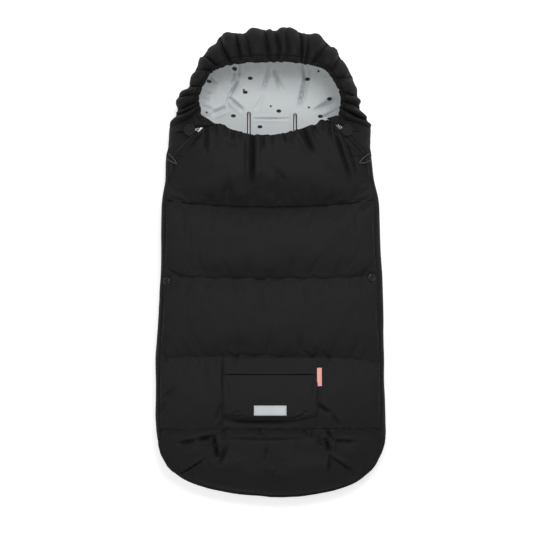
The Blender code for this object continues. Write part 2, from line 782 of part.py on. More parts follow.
def make_pocket():
    """Pocket panel, the welt on its slit, the bare patch and the coral tab."""
    rows = cover_rows()
    places = sorted({POCKET_LOW, POCKET_SLIT, LABEL_LOW, LABEL_HIGH}
                    | {y for y in rows[:, 0] if POCKET_LOW + GAP < y < POCKET_SLIT - GAP})
    def rise(x, y):
        u = min(1.0, abs(x) / POCKET_HALF_WIDTH)
        v = (y - POCKET_LOW) / (POCKET_SLIT - POCKET_LOW)
        return POCKET_CLEARANCE + POCKET_ROOM * math.sqrt(1 - u ** 4) * math.sin(math.pi / 2 * v)
    def cover_top(x, y):
        return panel_point(rows, x / half_width(rows, y), y, "top")[2]
    def pocket_point(x, y, extra):
        return np.array((x, y, cover_top(x, y) + rise(x, y) + extra))
    def across(i):
        return POCKET_HALF_WIDTH * math.sin(math.pi / 2 * (2 * i / POCKET_COLUMNS - 1))
    grid_solid("pocket_panel", POCKET_COLUMNS, len(places) - 1,
               lambda i, j: pocket_point(across(i), places[j], POCKET_FABRIC),
               lambda i, j: pocket_point(across(i), places[j], 0.0), SHELL_FABRIC)
    def welt_point(i, j, extra):
        made = pocket_point(across(i), POCKET_SLIT, extra)
        made[1] += GAP + WELT_DEPTH * j
        return made
    grid_solid("pocket_welt", POCKET_COLUMNS, 1,
               lambda i, j: welt_point(i, j, POCKET_FABRIC),
               lambda i, j: welt_point(i, j, POCKET_CLEARANCE), TRIM)
    def label_point(i, j, extra):
        x = LABEL_HALF_WIDTH * (2 * i / PATCH_COLUMNS - 1)
        y = LABEL_LOW if j == 0 else LABEL_HIGH
        return pocket_point(x, y, POCKET_FABRIC + extra)
    grid_solid("pocket_patch", PATCH_COLUMNS, 1,
               lambda i, j: label_point(i, j, POCKET_CLEARANCE + LABEL_THICKNESS),
               lambda i, j: label_point(i, j, POCKET_CLEARANCE), PATCH)
    spans = [TAB_LOW, *[y for y in rows[:, 0] if TAB_LOW < y < TAB_HIGH], TAB_HIGH]
    def tab_point(i, j, extra):
        x = POCKET_HALF_WIDTH + POCKET_CLEARANCE + TAB_WIDTH * i / 2
        return np.array((x, spans[j], cover_top(x, spans[j]) + POCKET_CLEARANCE + extra))
    grid_solid("side_tab", 2, len(spans) - 1,
               lambda i, j: tab_point(i, j, TAB_THICKNESS),
               lambda i, j: tab_point(i, j, 0.0), CORAL)


def make_snaps():
    """Snap cap on the left and socket on the right, lying on the cover near its edge."""
    rows = cover_rows()
    for name, side, radius, y, finish in (
        ("snap_cap_left", -1, CAP_RADIUS, SNAP_LEFT_Y, METAL),
        ("snap_socket_right", 1, SOCKET_RADIUS, SNAP_RIGHT_Y, DARK_METAL),
    ):
        half = half_width(rows, y)
        u = 1 - SNAP_INSET / half
        point = Vector(panel_point(rows, side * u, y, "top"))
        step = SNAP_INSET / half / 2
        after = Vector(panel_point(rows, side * (u - step), y, "top"))
        before = Vector(panel_point(rows, side * (u + step), y, "top"))
        slope = (after - before).normalized()
        normal = slope.cross(Vector((0, -side, 0))).normalized()
        if normal.z < 0:
            normal.negate()
        turn = Vector((0, 0, 1)).rotation_difference(normal).to_matrix().to_4x4()
        bm = cylinder_mesh(radius, SNAP_THICKNESS, Matrix.Identity(4), SNAP_SIDES)
        made = add_object(name, bm, finish)
        rise = SNAP_LIFT + SNAP_THICKNESS / 2
        made.matrix_world = Matrix.Translation(point + normal * rise) @ turn
        bevel = made.modifiers.new("edge", "BEVEL")
        bevel.width = SNAP_BEVEL
        bevel.segments = 1


def make_loops():
    """A thin cord loop at each shoulder, out of the side panel and over the zip."""
    clear = -(LOOP_RADIUS + 2 * GAP)
    middle = rim_line(GAP + ZIP_BAR_WIDTH / 2)
    rise = np.array((0, 0, LOOP_RISE))
    low, high = station_at(LOOP_LOW_Y), station_at(LOOP_HIGH_Y)
    points = [upper_point(high, angle, clear) for angle in LOOP_ANGLES]
    for share in LOOP_TIP_SHARES:
        points.append(on_line(middle, lerp(LOOP_HIGH_Y, LOOP_LOW_Y, share)) + rise)
    points += [upper_point(low, angle, clear) for angle in LOOP_ANGLES[::-1]]
    for word, side in (("left", -1), ("right", 1)):
        route = [point if side > 0 else mirrored(point) for point in points]
        tube(f"cord_loop_{word}", route, LOOP_RADIUS, ELASTIC)


def make_hinges():
    """Empties on the two fold lines, which carry the cover and the flap."""
    carrier, base = None, Vector((0, 0, 0))
    for name, y, prefixes in (
        ("cover_hinge", FOOT_SEAM, COVER_PREFIXES),
        ("flap_hinge", CHEST_SEAM, FLAP_PREFIXES),
    ):
        point = Vector((0, y, HINGE_HEIGHT))
        hinge = bpy.data.objects.new(name, None)
        hinge.empty_display_size = WIDTH / 2
        hinge.parent = carrier
        hinge.location = point - base
        pieces = [piece for piece in PARTS.objects if piece.name.startswith(prefixes)]
        hang_on(hinge, Matrix.Translation(point), pieces)
        PARTS.objects.link(hinge)
        carrier, base = hinge, point


SHELL_FABRIC = (BACK_COLOUR, 0.80)
HOOD_FABRIC = (HOOD_COLOUR, 0.70)
LINING_FABRIC = (LINING_COLOUR, 0.85)
SOFT_FILL = (WADDING_COLOUR, 0.95)
TRIM = (BACK_COLOUR, 0.75)
PATCH = (LABEL_COLOUR, 0.80)
CORAL = (CORAL_COLOUR, 0.75)
METAL = (METAL_COLOUR, 0.30, 1.0)
DARK_METAL = (RUBBER_COLOUR, 0.40, 1.0)
RUBBER = (RUBBER_COLOUR, 0.60)
ZIP = (ZIP_COLOUR, 0.60)
ELASTIC = (HOOD_COLOUR, 0.80)

clear_scene()
PARTS = new_collection("stroller_footmuff")
CUTTERS = new_collection("cutters")
OUTLINE, RIM, HEIGHT, WADDING, NORMALS = make_stations()
make_back()
make_walls()
make_foot()
make_front()
make_zips()
make_pocket()
make_snaps()
make_loops()
make_hinges()
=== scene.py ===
"""Looks of a hooded, quilted stroller footmuff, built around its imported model.

Metres, in the model's own frame: +X across, +Y towards the hood, +Z up off the floor.
A pixel pair in this file is a place in the photograph, which looks straight down.
"""

import json
import logging
import math
from collections.abc import Callable
from dataclasses import dataclass, replace
from enum import Enum

import bmesh
import bpy
import numpy as np
from mathutils import Matrix, Vector
from mathutils.bvhtree import BVHTree


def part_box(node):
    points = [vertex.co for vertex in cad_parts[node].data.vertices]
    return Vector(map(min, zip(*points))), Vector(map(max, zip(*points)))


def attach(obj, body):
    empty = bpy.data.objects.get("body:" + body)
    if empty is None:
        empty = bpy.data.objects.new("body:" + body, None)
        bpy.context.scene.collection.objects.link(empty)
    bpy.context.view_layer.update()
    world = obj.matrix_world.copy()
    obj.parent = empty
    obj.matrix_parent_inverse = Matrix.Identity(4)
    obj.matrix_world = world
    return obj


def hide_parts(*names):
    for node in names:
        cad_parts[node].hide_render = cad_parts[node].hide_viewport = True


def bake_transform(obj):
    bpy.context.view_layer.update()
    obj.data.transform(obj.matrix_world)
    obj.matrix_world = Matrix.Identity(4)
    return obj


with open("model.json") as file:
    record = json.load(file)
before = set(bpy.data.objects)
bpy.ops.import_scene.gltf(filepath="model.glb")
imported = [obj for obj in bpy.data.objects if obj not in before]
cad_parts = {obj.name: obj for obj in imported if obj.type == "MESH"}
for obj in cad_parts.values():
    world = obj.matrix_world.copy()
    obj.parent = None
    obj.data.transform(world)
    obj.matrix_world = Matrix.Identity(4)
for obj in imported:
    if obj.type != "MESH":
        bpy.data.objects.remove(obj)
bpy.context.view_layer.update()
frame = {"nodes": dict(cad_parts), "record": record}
LOG = logging.getLogger("footmuff")

Triple = tuple[float, float, float]
Pairs = tuple[tuple[float, float], ...]
Array = np.ndarray
Mesh = bmesh.types.BMesh
Piece = bpy.types.Object
NodeTree = bpy.types.NodeTree
Node = bpy.types.Node
Socket = bpy.types.NodeSocket

PIXEL = 0.002
ORIGIN_PIXEL = (270.0, 262.5)
PHOTO_SIZE = 533
LENS, SENSOR = 200.0, 36.0
CAMERA_DISTANCE = PHOTO_SIZE * PIXEL * LENS / SENSOR
FOCUS_HEIGHT = 0.05
TOP_HEIGHT = 0.095
QUARTER = math.pi / 2
SHARP = math.radians(58)
MM = 0.001
LEAST_THICKNESS = 3 * MM


class Side(Enum):
    """The two sides of the footmuff, by the sign of X."""

    LEFT = -1
    RIGHT = 1

    @property
    def word(self) -> str:
        """The side's name in the names of pieces."""
        return self.name.lower()


class Weave(Enum):
    """How a cloth's threads run."""

    PLAIN = "plain"
    RIB = "rib"
    KNIT = "knit"
    NONE = "none"


class FoldKind(Enum):
    """The cross-section of a fold."""

    SOFT = "soft"
    CREASE = "crease"
    RIDGE = "ridge"


# Small maths on arrays


def ease(share: Array) -> Array:
    """A share between 0 and 1, eased at both ends."""
    share = np.clip(share, 0.0, 1.0)
    return share * share * (3 - 2 * share)


def mix(low: Array, high: Array, share: Array) -> Array:
    """A value between low and high."""
    return low + (high - low) * share


def spline(points: Array, place: Array) -> Array:
    """A smooth curve through rows of numbers.

    Args:
        points: one row for each knot.
        place: knot numbers, whole or between knots.

    Returns:
        One row for each place.
    """
    padded = np.vstack((2 * points[0] - points[1], points, 2 * points[-1] - points[-2]))
    low = np.clip(np.floor(place).astype(int), 0, len(points) - 2)
    t = (place - low)[:, None]
    a, b, c, d = (padded[low + k] for k in range(4))
    return 0.5 * (2 * b + (c - a) * t + (2 * a - 5 * b + 4 * c - d) * t ** 2
                  + (3 * b - a - 3 * c + d) * t ** 3)


def cloth_noise(x: Array, y: Array, seed: int) -> Array:
    """Smooth noise between -1 and 1, with features one unit apart.

    Args:
        x: first coordinate, in features.
        y: second coordinate, in features.
        seed: which noise.

    Returns:
        A value for each place.
    """
    size = 128
    table = np.random.default_rng(seed).uniform(-1, 1, (size, size))
    xi, yi = np.floor(x).astype(int), np.floor(y).astype(int)
    fx, fy = ease(x - xi), ease(y - yi)
    corner = [[table[(xi + i) % size, (yi + j) % size] for j in (0, 1)] for i in (0, 1)]
    return mix(mix(corner[0][0], corner[1][0], fx), mix(corner[0][1], corner[1][1], fx), fy)


def unit_rows(rows: Array) -> Array:
    """Rows of numbers, each scaled to length 1."""
    return rows / np.linalg.norm(rows, axis=1)[:, None]


def left_of(steps: Array) -> Array:
    """Steps on the floor plan, each turned a quarter to the left."""
    return np.stack((-steps[:, 1], steps[:, 0]), axis=1)


def crowded(share: Array, amount: float) -> Array:
    """Shares from 0 to 1 spread from -1 to 1, crowded towards both ends."""
    place = 2 * share - 1
    return np.sin(QUARTER * place) * amount + place * (1 - amount)


def walked(line: Array) -> Array:
    """How far along a line each of its points lies."""
    return np.concatenate(((0,), np.cumsum(np.linalg.norm(np.diff(line, axis=0), axis=1))))


def on_line(line: Array, reaches: Array) -> Array:
    """Points in rows, at distances along a line."""
    gone = walked(line)
    return np.column_stack([np.interp(reaches, gone, line[:, axis]) for axis in range(3)])


def photo_place(pixel: tuple[float, float], height: float = TOP_HEIGHT) -> Array:
    """Where a pixel of the photograph lies on the floor plan, for a point at a height."""
    flat, middle = ((np.array(spot) - ORIGIN_PIXEL) * (PIXEL, -PIXEL)
                    for spot in (pixel, (PHOTO_SIZE / 2, PHOTO_SIZE / 2)))
    return mix(flat, middle, (height - FOCUS_HEIGHT) / CAMERA_DISTANCE)


@dataclass(frozen=True)
class Fold:
    """A fold of the cloth along a line between two pixels of the photograph."""

    start: tuple[float, float]
    end: tuple[float, float]
    width: float
    depth: float
    kind: FoldKind

    def relief(self, plan: Array) -> Array:
        """How far the fold lifts the cloth at places on the floor plan."""
        first, last = photo_place(self.start), photo_place(self.end)
        way = last - first
        along = np.clip((plan - first) @ way / (way @ way), 0, 1)
        nearest = first + along[:, None] * way
        reach = np.linalg.norm(plan - nearest, axis=1) / self.width
        fade = ease((1 - along) / 0.5) * (0.5 + 0.5 * ease(along / 0.2))
        if self.kind is FoldKind.SOFT:
            return -self.depth * np.exp(-reach ** 2) * fade
        if self.kind is FoldKind.RIDGE:
            return self.depth * np.exp(-reach ** 2) * fade
        lips = 0.30 * np.exp(-((reach - 2.0) / 1.1) ** 2)
        return -self.depth * (np.exp(-reach ** 1.3) - lips) * fade


def fold_rows(kind: FoldKind, rows: tuple[tuple[float, ...], ...]) -> tuple[Fold, ...]:
    """Folds of one kind, from rows of two pixels, a width and a depth in millimetres."""
    return tuple(Fold(row[:2], row[2:4], row[4] * MM, row[5] * MM, kind) for row in rows)


def folded(folds: tuple[Fold, ...], plan: Array) -> Array:
    """The relief of several folds together."""
    return sum(fold.relief(plan) for fold in folds)


# Meshes and objects


def grid_mesh(columns: int, rows: int) -> tuple[Mesh, Array]:
    """A flat grid with a UV layer.

    Args:
        columns: faces across.
        rows: faces along.

    Returns:
        The mesh, and each vertex's place across and along, from 0 to 1.
    """
    bm = bmesh.new()
    bmesh.ops.create_grid(bm, x_segments=columns, y_segments=rows, size=1)
    places = np.array([(vert.co.x + 1, vert.co.y + 1) for vert in bm.verts]) / 2
    return bm, places


def put(bm: Mesh, points: Array) -> None:
    """Move a mesh's vertices to points, in order."""
    for vert, point in zip(bm.verts, points):
        vert.co = point


def lay_uv(bm: Mesh, flat: Array) -> None:
    """Give a mesh a UV map in metres of cloth, one flat place for each vertex."""
    layer = bm.loops.layers.uv.new("cloth")
    bm.verts.index_update()
    for face in bm.faces:
        for loop in face.loops:
            loop[layer].uv = flat[loop.vert.index]


def face_out(bm: Mesh) -> None:
    """Turn a mesh's faces the same way round, outward."""
    bmesh.ops.recalc_face_normals(bm, faces=bm.faces[:])


def closed_body(bm: Mesh, upper: Array, lower: Array, flat: Array) -> None:
    """Turn a flat grid into a closed body between two sets of points.

    Args:
        bm: a grid from grid_mesh.
        upper: a point for each vertex of the top.
        lower: a point for each vertex of the underside, which gets material 1.
        flat: a place on the cloth for each vertex.
    """
    count = len(bm.verts)
    grown = bmesh.ops.extrude_face_region(bm, geom=bm.faces[:])["geom"]
    raised = {item for item in grown if isinstance(item, bmesh.types.BMVert)}
    bm.verts.index_update()
    spots = [(round(vert.co.x, 5), round(vert.co.y, 5)) for vert in bm.verts]
    numbers = {spot: number for number, spot in enumerate(spots[:count])}
    order = [numbers[spot] for spot in spots]
    for vert, number in zip(bm.verts, order):
        vert.co = (upper if vert in raised else lower)[number]
    lay_uv(bm, flat[order])
    for face in bm.faces:
        face.material_index = 0 if any(vert in raised for vert in face.verts) else 1
    face_out(bm)
    if bm.calc_volume(signed=True) < 0:
        bmesh.ops.reverse_faces(bm, faces=bm.faces[:])


def face_up(bm: Mesh) -> None:
    """Turn an open cloth's faces to one side, mostly upward."""
    face_out(bm)
    if sum(face.normal.z for face in bm.faces) < 0:
        bmesh.ops.reverse_faces(bm, faces=bm.faces[:])


def new_object(name: str, bm: Mesh) -> Piece:
    """Make a mesh an object of the scene, and free it."""
    mesh = bpy.data.meshes.new(name)
    bm.to_mesh(mesh)
    bm.free()
    made = bpy.data.objects.new(name, mesh)
    bpy.context.scene.collection.objects.link(made)
    return made


@dataclass(frozen=True)
class Settling:
    """How a sewn panel's cloth settles over its filling.

    The cloth is cut a little larger than its seams, so that it puckers along them.
    """

    pressure: float = 4.0
    growth: float = 0.035
    frames: int = 18
    cap: float = 0.009
    mass: float = 0.1
    bending: float = 0.1

    def run(self, mesh_size: tuple[int, int], points: Array, sewn: Array) -> Array:
        """Settle a grid of cloth.

        Args:
            mesh_size: the grid's columns and rows.
            points: a point for each vertex.
            sewn: 1 where a seam holds the cloth and 0 where it is free.

        Returns:
            The points afterwards.
        """
        bm, _ = grid_mesh(*mesh_size)
        put(bm, points)
        cloth = new_object("settling", bm)
        group = cloth.vertex_groups.new(name="sewn")
        group.add([int(index) for index in np.flatnonzero(sewn)], 1.0, "REPLACE")
        modifier = cloth.modifiers.new("cloth", "CLOTH")
        settings = modifier.settings
        settings.mass = self.mass
        settings.bending_stiffness = self.bending
        settings.vertex_group_mass = group.name
        settings.effector_weights.gravity = 0
        settings.use_pressure = True
        settings.uniform_pressure_force = self.pressure
        settings.shrink_min = -self.growth
        modifier.point_cache.frame_start = 1
        modifier.point_cache.frame_end = self.frames
        for number in range(1, self.frames + 1):
            bpy.context.scene.frame_set(number)
        settled = cloth.evaluated_get(bpy.context.evaluated_depsgraph_get()).data
        found = np.empty(len(points) * 3)
        settled.vertices.foreach_get("co", found)
        bpy.data.objects.remove(cloth, do_unlink=True)
        bpy.context.scene.frame_set(1)
        move = found.reshape(-1, 3) - points
        far = np.linalg.norm(move, axis=1)[:, None]
        return points + move * self.cap * np.tanh(far / self.cap) / np.maximum(far, 1e-9)


def tube(bm: Mesh, path: Array, radius: float, sides: int = 10, closed: bool = False) -> None:
    """Add a round tube along a path.

    Args:
        bm: the mesh it goes into.
        path: the points it follows.
        radius: the tube's radius.
        sides: faces round it.
        closed: whether its end meets its start.
    """
    count = len(path)
    steps = [Vector(path[(k + 1) % count if closed else min(k + 1, count - 1)])
             - Vector(path[k - 1 if closed else max(k - 1, 0)]) for k in range(count)]
    up = Vector((0, 0, 1)) if abs(steps[0].normalized().z) < 0.9 else Vector((1, 0, 0))
    frames = []
    for step in steps:
        along = step.normalized()
        across = along.cross(up).normalized()
        up = across.cross(along).normalized()
        frames.append(Matrix((across, up, along)).transposed())
    first = bmesh.ops.create_circle(bm, segments=sides, radius=radius)["verts"]
    flat = [vert.co.copy() for vert in first]
    edges = ring_edges(first)
    rings = [first]
    for _ in range(count - 1):
        grown = bmesh.ops.extrude_edge_only(bm, edges=edges)["geom"]
        edges = [item for item in grown if isinstance(item, bmesh.types.BMEdge)
                 and item.is_boundary and all(vert in grown for vert in item.verts)]
        verts = [item for item in grown if isinstance(item, bmesh.types.BMVert)]
        rings.append([min(verts, key=lambda vert: (vert.co - place).length) for place in flat])
    for ring, frame_turn, point in zip(rings, frames, path):
        for vert, place in zip(ring, flat):
            vert.co = Vector(point) + frame_turn @ place
    if closed:
        bmesh.ops.bridge_loops(bm, edges=ring_edges(rings[0]) + ring_edges(rings[-1]))
    else:
        for ring in (rings[0], rings[-1]):
            bmesh.ops.contextual_create(bm, geom=ring_edges(ring))


def ring_edges(ring: list[bmesh.types.BMVert]) -> list[bmesh.types.BMEdge]:
    """The edges that join a ring of vertices."""
    return [edge for edge in {edge for vert in ring for edge in vert.link_edges}
            if all(vert in ring for vert in edge.verts)]


def block(bm: Mesh, size: Triple, place: Triple,
          rounding: float, segments: int = 3) -> list[bmesh.types.BMVert]:
    """Add a block with rounded edges, and return its vertices."""
    made = bmesh.ops.create_cube(bm, size=1)["verts"]
    bmesh.ops.scale(bm, vec=size, verts=made)
    bmesh.ops.translate(bm, vec=place, verts=made)
    edges = list({edge for vert in made for edge in vert.link_edges})
    bevelled = bmesh.ops.bevel(bm, geom=edges, offset=rounding, segments=segments, profile=0.5,
                               affect="EDGES", material=-1)
    return bevelled["verts"]


def revolve(bm: Mesh, radius: float, profile: Pairs) -> None:
    """Add a turned shape round Z.

    Args:
        bm: the mesh it goes into.
        radius: its radius.
        profile: shares of the radius and heights in millimetres, from axis to axis.
    """
    verts = [bm.verts.new((share * radius, 0, height * MM)) for share, height in profile]
    edges = [bm.edges.new(pair) for pair in zip(verts, verts[1:])]
    bmesh.ops.spin(bm, geom=verts + edges, cent=(0, 0, 0), axis=(0, 0, 1), angle=2 * math.pi,
                   steps=40, use_merge=True)
    bmesh.ops.remove_doubles(bm, verts=bm.verts[:], dist=0.01 * MM)
    face_out(bm)


def place_in(bm: Mesh, origin: Triple, along: Vector, normal: Vector) -> None:
    """Move a mesh from its own axes to a place: X along, Z by the normal."""
    across = normal.cross(along).normalized()
    turn = Matrix((along.normalized(), across, normal.normalized())).transposed()
    bmesh.ops.transform(bm, matrix=Matrix.Translation(origin) @ turn.to_4x4(), verts=bm.verts[:])


@dataclass(frozen=True)
class Stitching:
    """A row of lockstitches along a line."""

    pitch: float = 3.4 * MM
    length: float = 2.5 * MM
    radius: float = 0.32 * MM

    def sew(self, name: str, lines: list[Array], finish: "Finish") -> Piece:
        """Sew along lines of points that lie on the cloth.

        Args:
            name: the stitches' name.
            lines: arrays of points.
            finish: the thread.

        Returns:
            All the stitches as one piece.
        """
        bm = bmesh.new()
        for line in lines:
            middles = np.arange(self.pitch / 2, walked(line)[-1], self.pitch)
            first, last = (on_line(line, middles + reach) for reach in (-self.length / 2, self.length / 2))
            for ends in zip(map(Vector, first), map(Vector, last)):
                way = ends[1] - ends[0]
                turn = way.to_track_quat("X", "Z").to_matrix().to_4x4()
                size = Matrix.Diagonal((way.length / 2 + self.radius, self.radius, self.radius, 1))
                spot = Matrix.Translation((ends[0] + ends[1]) / 2)
                bmesh.ops.create_icosphere(bm, subdivisions=1, radius=1, matrix=spot @ turn @ size)
        return add_piece(name, bm, (finish,))


def surface_of(piece: Piece) -> BVHTree:
    """A tree that finds a piece's surface."""
    return BVHTree.FromObject(piece, bpy.context.evaluated_depsgraph_get())


def landed(trees: list[BVHTree], plan: Array, lift: float = 0.0) -> Array:
    """Points that rest on the topmost of several surfaces.

    Args:
        trees: the surfaces.
        plan: places seen from above.
        lift: how far over the surface.

    Returns:
        Points in rows.
    """
    made = []
    for x, y in plan:
        hits = [tree.ray_cast(Vector((x, y, 1)), Vector((0, 0, -1)))[0] for tree in trees]
        made.append((x, y, max([hit.z for hit in hits if hit] or [0.0]) + lift))
    return np.array(made)


def add_piece(name: str, bm: Mesh, finishes: tuple["Finish", ...],
              replaced: tuple[str, ...] = ()) -> Piece:
    """Make a mesh an object of the footmuff.

    Args:
        name: the piece's name.
        bm: its mesh, which is freed.
        finishes: its materials, in the order of its faces' material numbers.
        replaced: the nodes that it stands for.

    Returns:
        The object, at the origin.
    """
    made = new_object(name, bm)
    mesh = made.data
    mesh.shade_smooth()
    mesh.set_sharp_from_angle(angle=SHARP)
    for finish in finishes:
        mesh.materials.append(finish.material())
    if replaced:
        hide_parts(*replaced)
    LOG.info("%s: %d faces", name, len(mesh.polygons))
    return made


def bake(piece: Piece) -> None:
    """Apply a piece's modifiers to its mesh."""
    graph = bpy.context.evaluated_depsgraph_get()
    mesh = bpy.data.meshes.new_from_object(piece.evaluated_get(graph))
    piece.modifiers.clear()
    mesh.set_sharp_from_angle(angle=SHARP)
    piece.data = mesh
    mesh.name = piece.name


def thicken(piece: Piece, thickness: float) -> None:
    """Give a piece's open cloth its thickness, on its inner side."""
    solid = piece.modifiers.new("thickness", "SOLIDIFY")
    solid.thickness = thickness
    solid.offset = -1.0
    bake(piece)


# Finishes


@dataclass(frozen=True)
class Finish:
    """A material with its weave, mottling and wear."""

    name: str
    colour: Triple
    roughness: float
    weave: Weave = Weave.NONE
    pitch: float = 0.7 * MM
    bump: float = 0.25
    crumple: float = 0.0
    crumple_size: float = 0.02
    sheen: float = 0.0
    metallic: float = 0.0
    variation: float = 0.15
    specular: float = 0.5

    def material(self) -> bpy.types.Material:
        """The finish's material, made once."""
        found = bpy.data.materials.get(self.name)
        if found:
            return found
        made = bpy.data.materials.new(self.name)
        made.use_nodes = True
        shader = made.node_tree.nodes["Principled BSDF"]
        feed(made.node_tree, shader, {
            "Metallic": self.metallic, "Specular IOR Level": self.specular,
            "Sheen Weight": self.sheen, "Sheen Roughness": 0.4,
        })
        self.paint(made.node_tree, shader)
        return made

    def paint(self, tree: NodeTree, shader: Node) -> None:
        """Colour variation, roughness variation, threads and crumples."""
        place = tree.nodes.new("ShaderNodeTexCoord").outputs
        mottle = add_node(tree, "TexNoise", {
            "Vector": place["Object"], "Scale": 45.0, "Detail": 4.0,
        }).outputs["Fac"]
        dark, light = ((*(value * share for value in self.colour), 1.0)
                       for share in (1 - self.variation, 1 + self.variation))
        base = blend_colours(tree, mottle, dark, light)
        span = add_node(tree, "MapRange", {
            "Value": mottle, "To Min": self.roughness - 0.06, "To Max": self.roughness + 0.06,
        })
        feed(tree, shader, {
            "Base Color": self.pattern(tree, place["Object"], base), "Roughness": span.outputs["Result"],
        })
        reliefs = []
        if self.weave is not Weave.NONE:
            reliefs.append((self.threads(tree, place["UV"]), self.bump, self.pitch * 0.3))
        if self.crumple > 0:
            rough = add_node(tree, "TexNoise", {
                "Vector": place["Object"], "Scale": 1 / self.crumple_size, "Detail": 5.0,
                "Roughness": 0.55, "Distortion": 0.6,
            })
            reliefs.append((rough.outputs["Fac"], self.crumple, self.crumple_size * 0.12))
        below = {}
        for height, strength, distance in reliefs:
            bump = add_node(tree, "Bump", {
                "Strength": strength, "Distance": distance, "Height": height, **below,
            })
            below = {"Normal": bump.outputs["Normal"]}
        feed(tree, shader, below)

    def pattern(self, tree: NodeTree, place: Socket, base: Socket) -> Socket:
        """The colour with any print on it; plain here."""
        return base

    def threads(self, tree: NodeTree, place: Socket) -> Socket:
        """The height of the weave along the cloth's own UV map."""
        waves = []
        for direction in ("X",) if self.weave is Weave.RIB else ("X", "Y"):
            wave = add_node(tree, "TexWave", {
                "Vector": place, "Scale": math.pi / 10 / self.pitch,
                "Distortion": 1.5 if self.weave is Weave.KNIT else 0.0,
            })
            wave.wave_type = "BANDS"
            wave.bands_direction = direction
            waves.append(wave.outputs["Fac"])
        if len(waves) == 1:
            return waves[0]
        both = add_node(tree, "Math", {0: waves[0], 1: waves[1]})
        both.operation = "MAXIMUM"
        return both.outputs[0]


def feed(tree: NodeTree, node: Node, inputs: dict[str | int, object]) -> Node:
    """Give each of a node's inputs its value, or the socket that feeds it."""
    for name, value in inputs.items():
        if isinstance(value, Socket):
            tree.links.new(value, node.inputs[name])
        else:
            node.inputs[name].default_value = value
    return node


def add_node(tree: NodeTree, kind: str, inputs: dict[str | int, object]) -> Node:
    """Add a shader node of a kind, and feed it."""
    return feed(tree, tree.nodes.new(f"ShaderNode{kind}"), inputs)


def blend_colours(tree: NodeTree, factor: Socket,
                  low: tuple[float, ...] | Socket,
                  high: tuple[float, ...] | Socket) -> Socket:
    """A colour between two, by a factor."""
    node = tree.nodes.new("ShaderNodeMix")
    node.data_type = "RGBA"
    return feed(tree, node, {"Factor": factor, 6: low, 7: high}).outputs[2]


@dataclass(frozen=True)
class PrintedFinish(Finish):
    """A cloth with small scattered ovals and dots printed on it.

    Each row of prints holds a spacing, a size, a turn and a stretch.
    """

    ink: Triple = (0.03, 0.03, 0.035)
    prints: tuple[tuple[float, float, float, float], ...] = (
        (0.078, 0.060, 0.5, 1.5), (0.066, 0.030, 1.9, 1.0),
    )

    def pattern(self, tree: NodeTree, place: Socket, base: Socket) -> Socket:
        """Ovals and dots over the plain colour."""
        made = base
        for spacing, size, turn, stretch in self.prints:
            turned = add_node(tree, "Mapping", {
                "Vector": place, "Rotation": (0, 0, turn),
                "Scale": (1 / spacing, stretch / spacing, 1 / spacing / 4),
            })
            cells = add_node(tree, "TexVoronoi", {
                "Vector": turned.outputs["Vector"], "Scale": 1.0, "Randomness": 0.75,
            })
            cells.voronoi_dimensions = "2D"
            edge = add_node(tree, "MapRange", {
                "Value": cells.outputs["Distance"], "From Min": size, "From Max": size * 1.15,
            })
            made = blend_colours(tree, edge.outputs["Result"], (*self.ink, 1.0), made)
        return made


SHELL = Finish("shell_cloth", (0.0140, 0.0137, 0.0142), 0.74, Weave.PLAIN, crumple=0.16, sheen=0.02,
               specular=0.16)
HOOD = replace(SHELL, name="hood_cloth", colour=(0.0102, 0.0090, 0.0096), roughness=0.72)
LINING = PrintedFinish("lining_jersey", (0.62, 0.65, 0.66), 0.85, Weave.KNIT, pitch=0.9 * MM,
                       crumple=0.12, sheen=0.1, variation=0.03, specular=0.2)
PLAIN_LINING = Finish("lining_plain", (0.62, 0.65, 0.66), 0.85, Weave.KNIT, pitch=0.9 * MM,
                      crumple=0.12, sheen=0.1, variation=0.03, specular=0.2)
# A darker copy of the pale lining on the walls inside the harness slots: painted shade of the slots'
# insides.
SLOT_PAINTED_SHADE = Finish("slot_facing", (0.27, 0.28, 0.29), 0.85, Weave.KNIT, pitch=0.9 * MM)
TRIM = Finish("trim_tape", (0.016, 0.016, 0.018), 0.6, Weave.RIB, pitch=1.0 * MM, bump=0.5)
THREAD = Finish("black_thread", (0.012, 0.012, 0.013), 0.5, variation=0.2)
PALE_THREAD = Finish("grey_thread", (0.42, 0.45, 0.46), 0.7, variation=0.1)
PATCH = Finish("patch_cloth", (0.62, 0.66, 0.67), 0.7, Weave.PLAIN, pitch=0.5 * MM, variation=0.03)
CORAL = Finish("coral_ribbon", (0.92, 0.44, 0.38), 0.7, Weave.RIB, pitch=0.6 * MM, bump=0.5,
               variation=0.05)
NICKEL = Finish("satin_nickel", (0.62, 0.62, 0.64), 0.28, metallic=1.0, variation=0.05)
DARK_NICKEL = Finish("black_lacquer", (0.008, 0.008, 0.009), 0.35, variation=0.1)
RUBBER = Finish("matte_rubber", (0.010, 0.010, 0.011), 0.75, crumple=0.15, crumple_size=0.002,
                specular=0.3)
COIL = Finish("zip_coil", (0.010, 0.010, 0.011), 0.5, variation=0.1)
TAPE = Finish("zip_tape_cloth", (0.013, 0.013, 0.015), 0.75, Weave.RIB, pitch=0.8 * MM, bump=0.5)
CORD = Finish("cord_braid", (0.060, 0.058, 0.062), 0.7, Weave.PLAIN, pitch=1.2 * MM, bump=0.6)


# The footmuff's lines


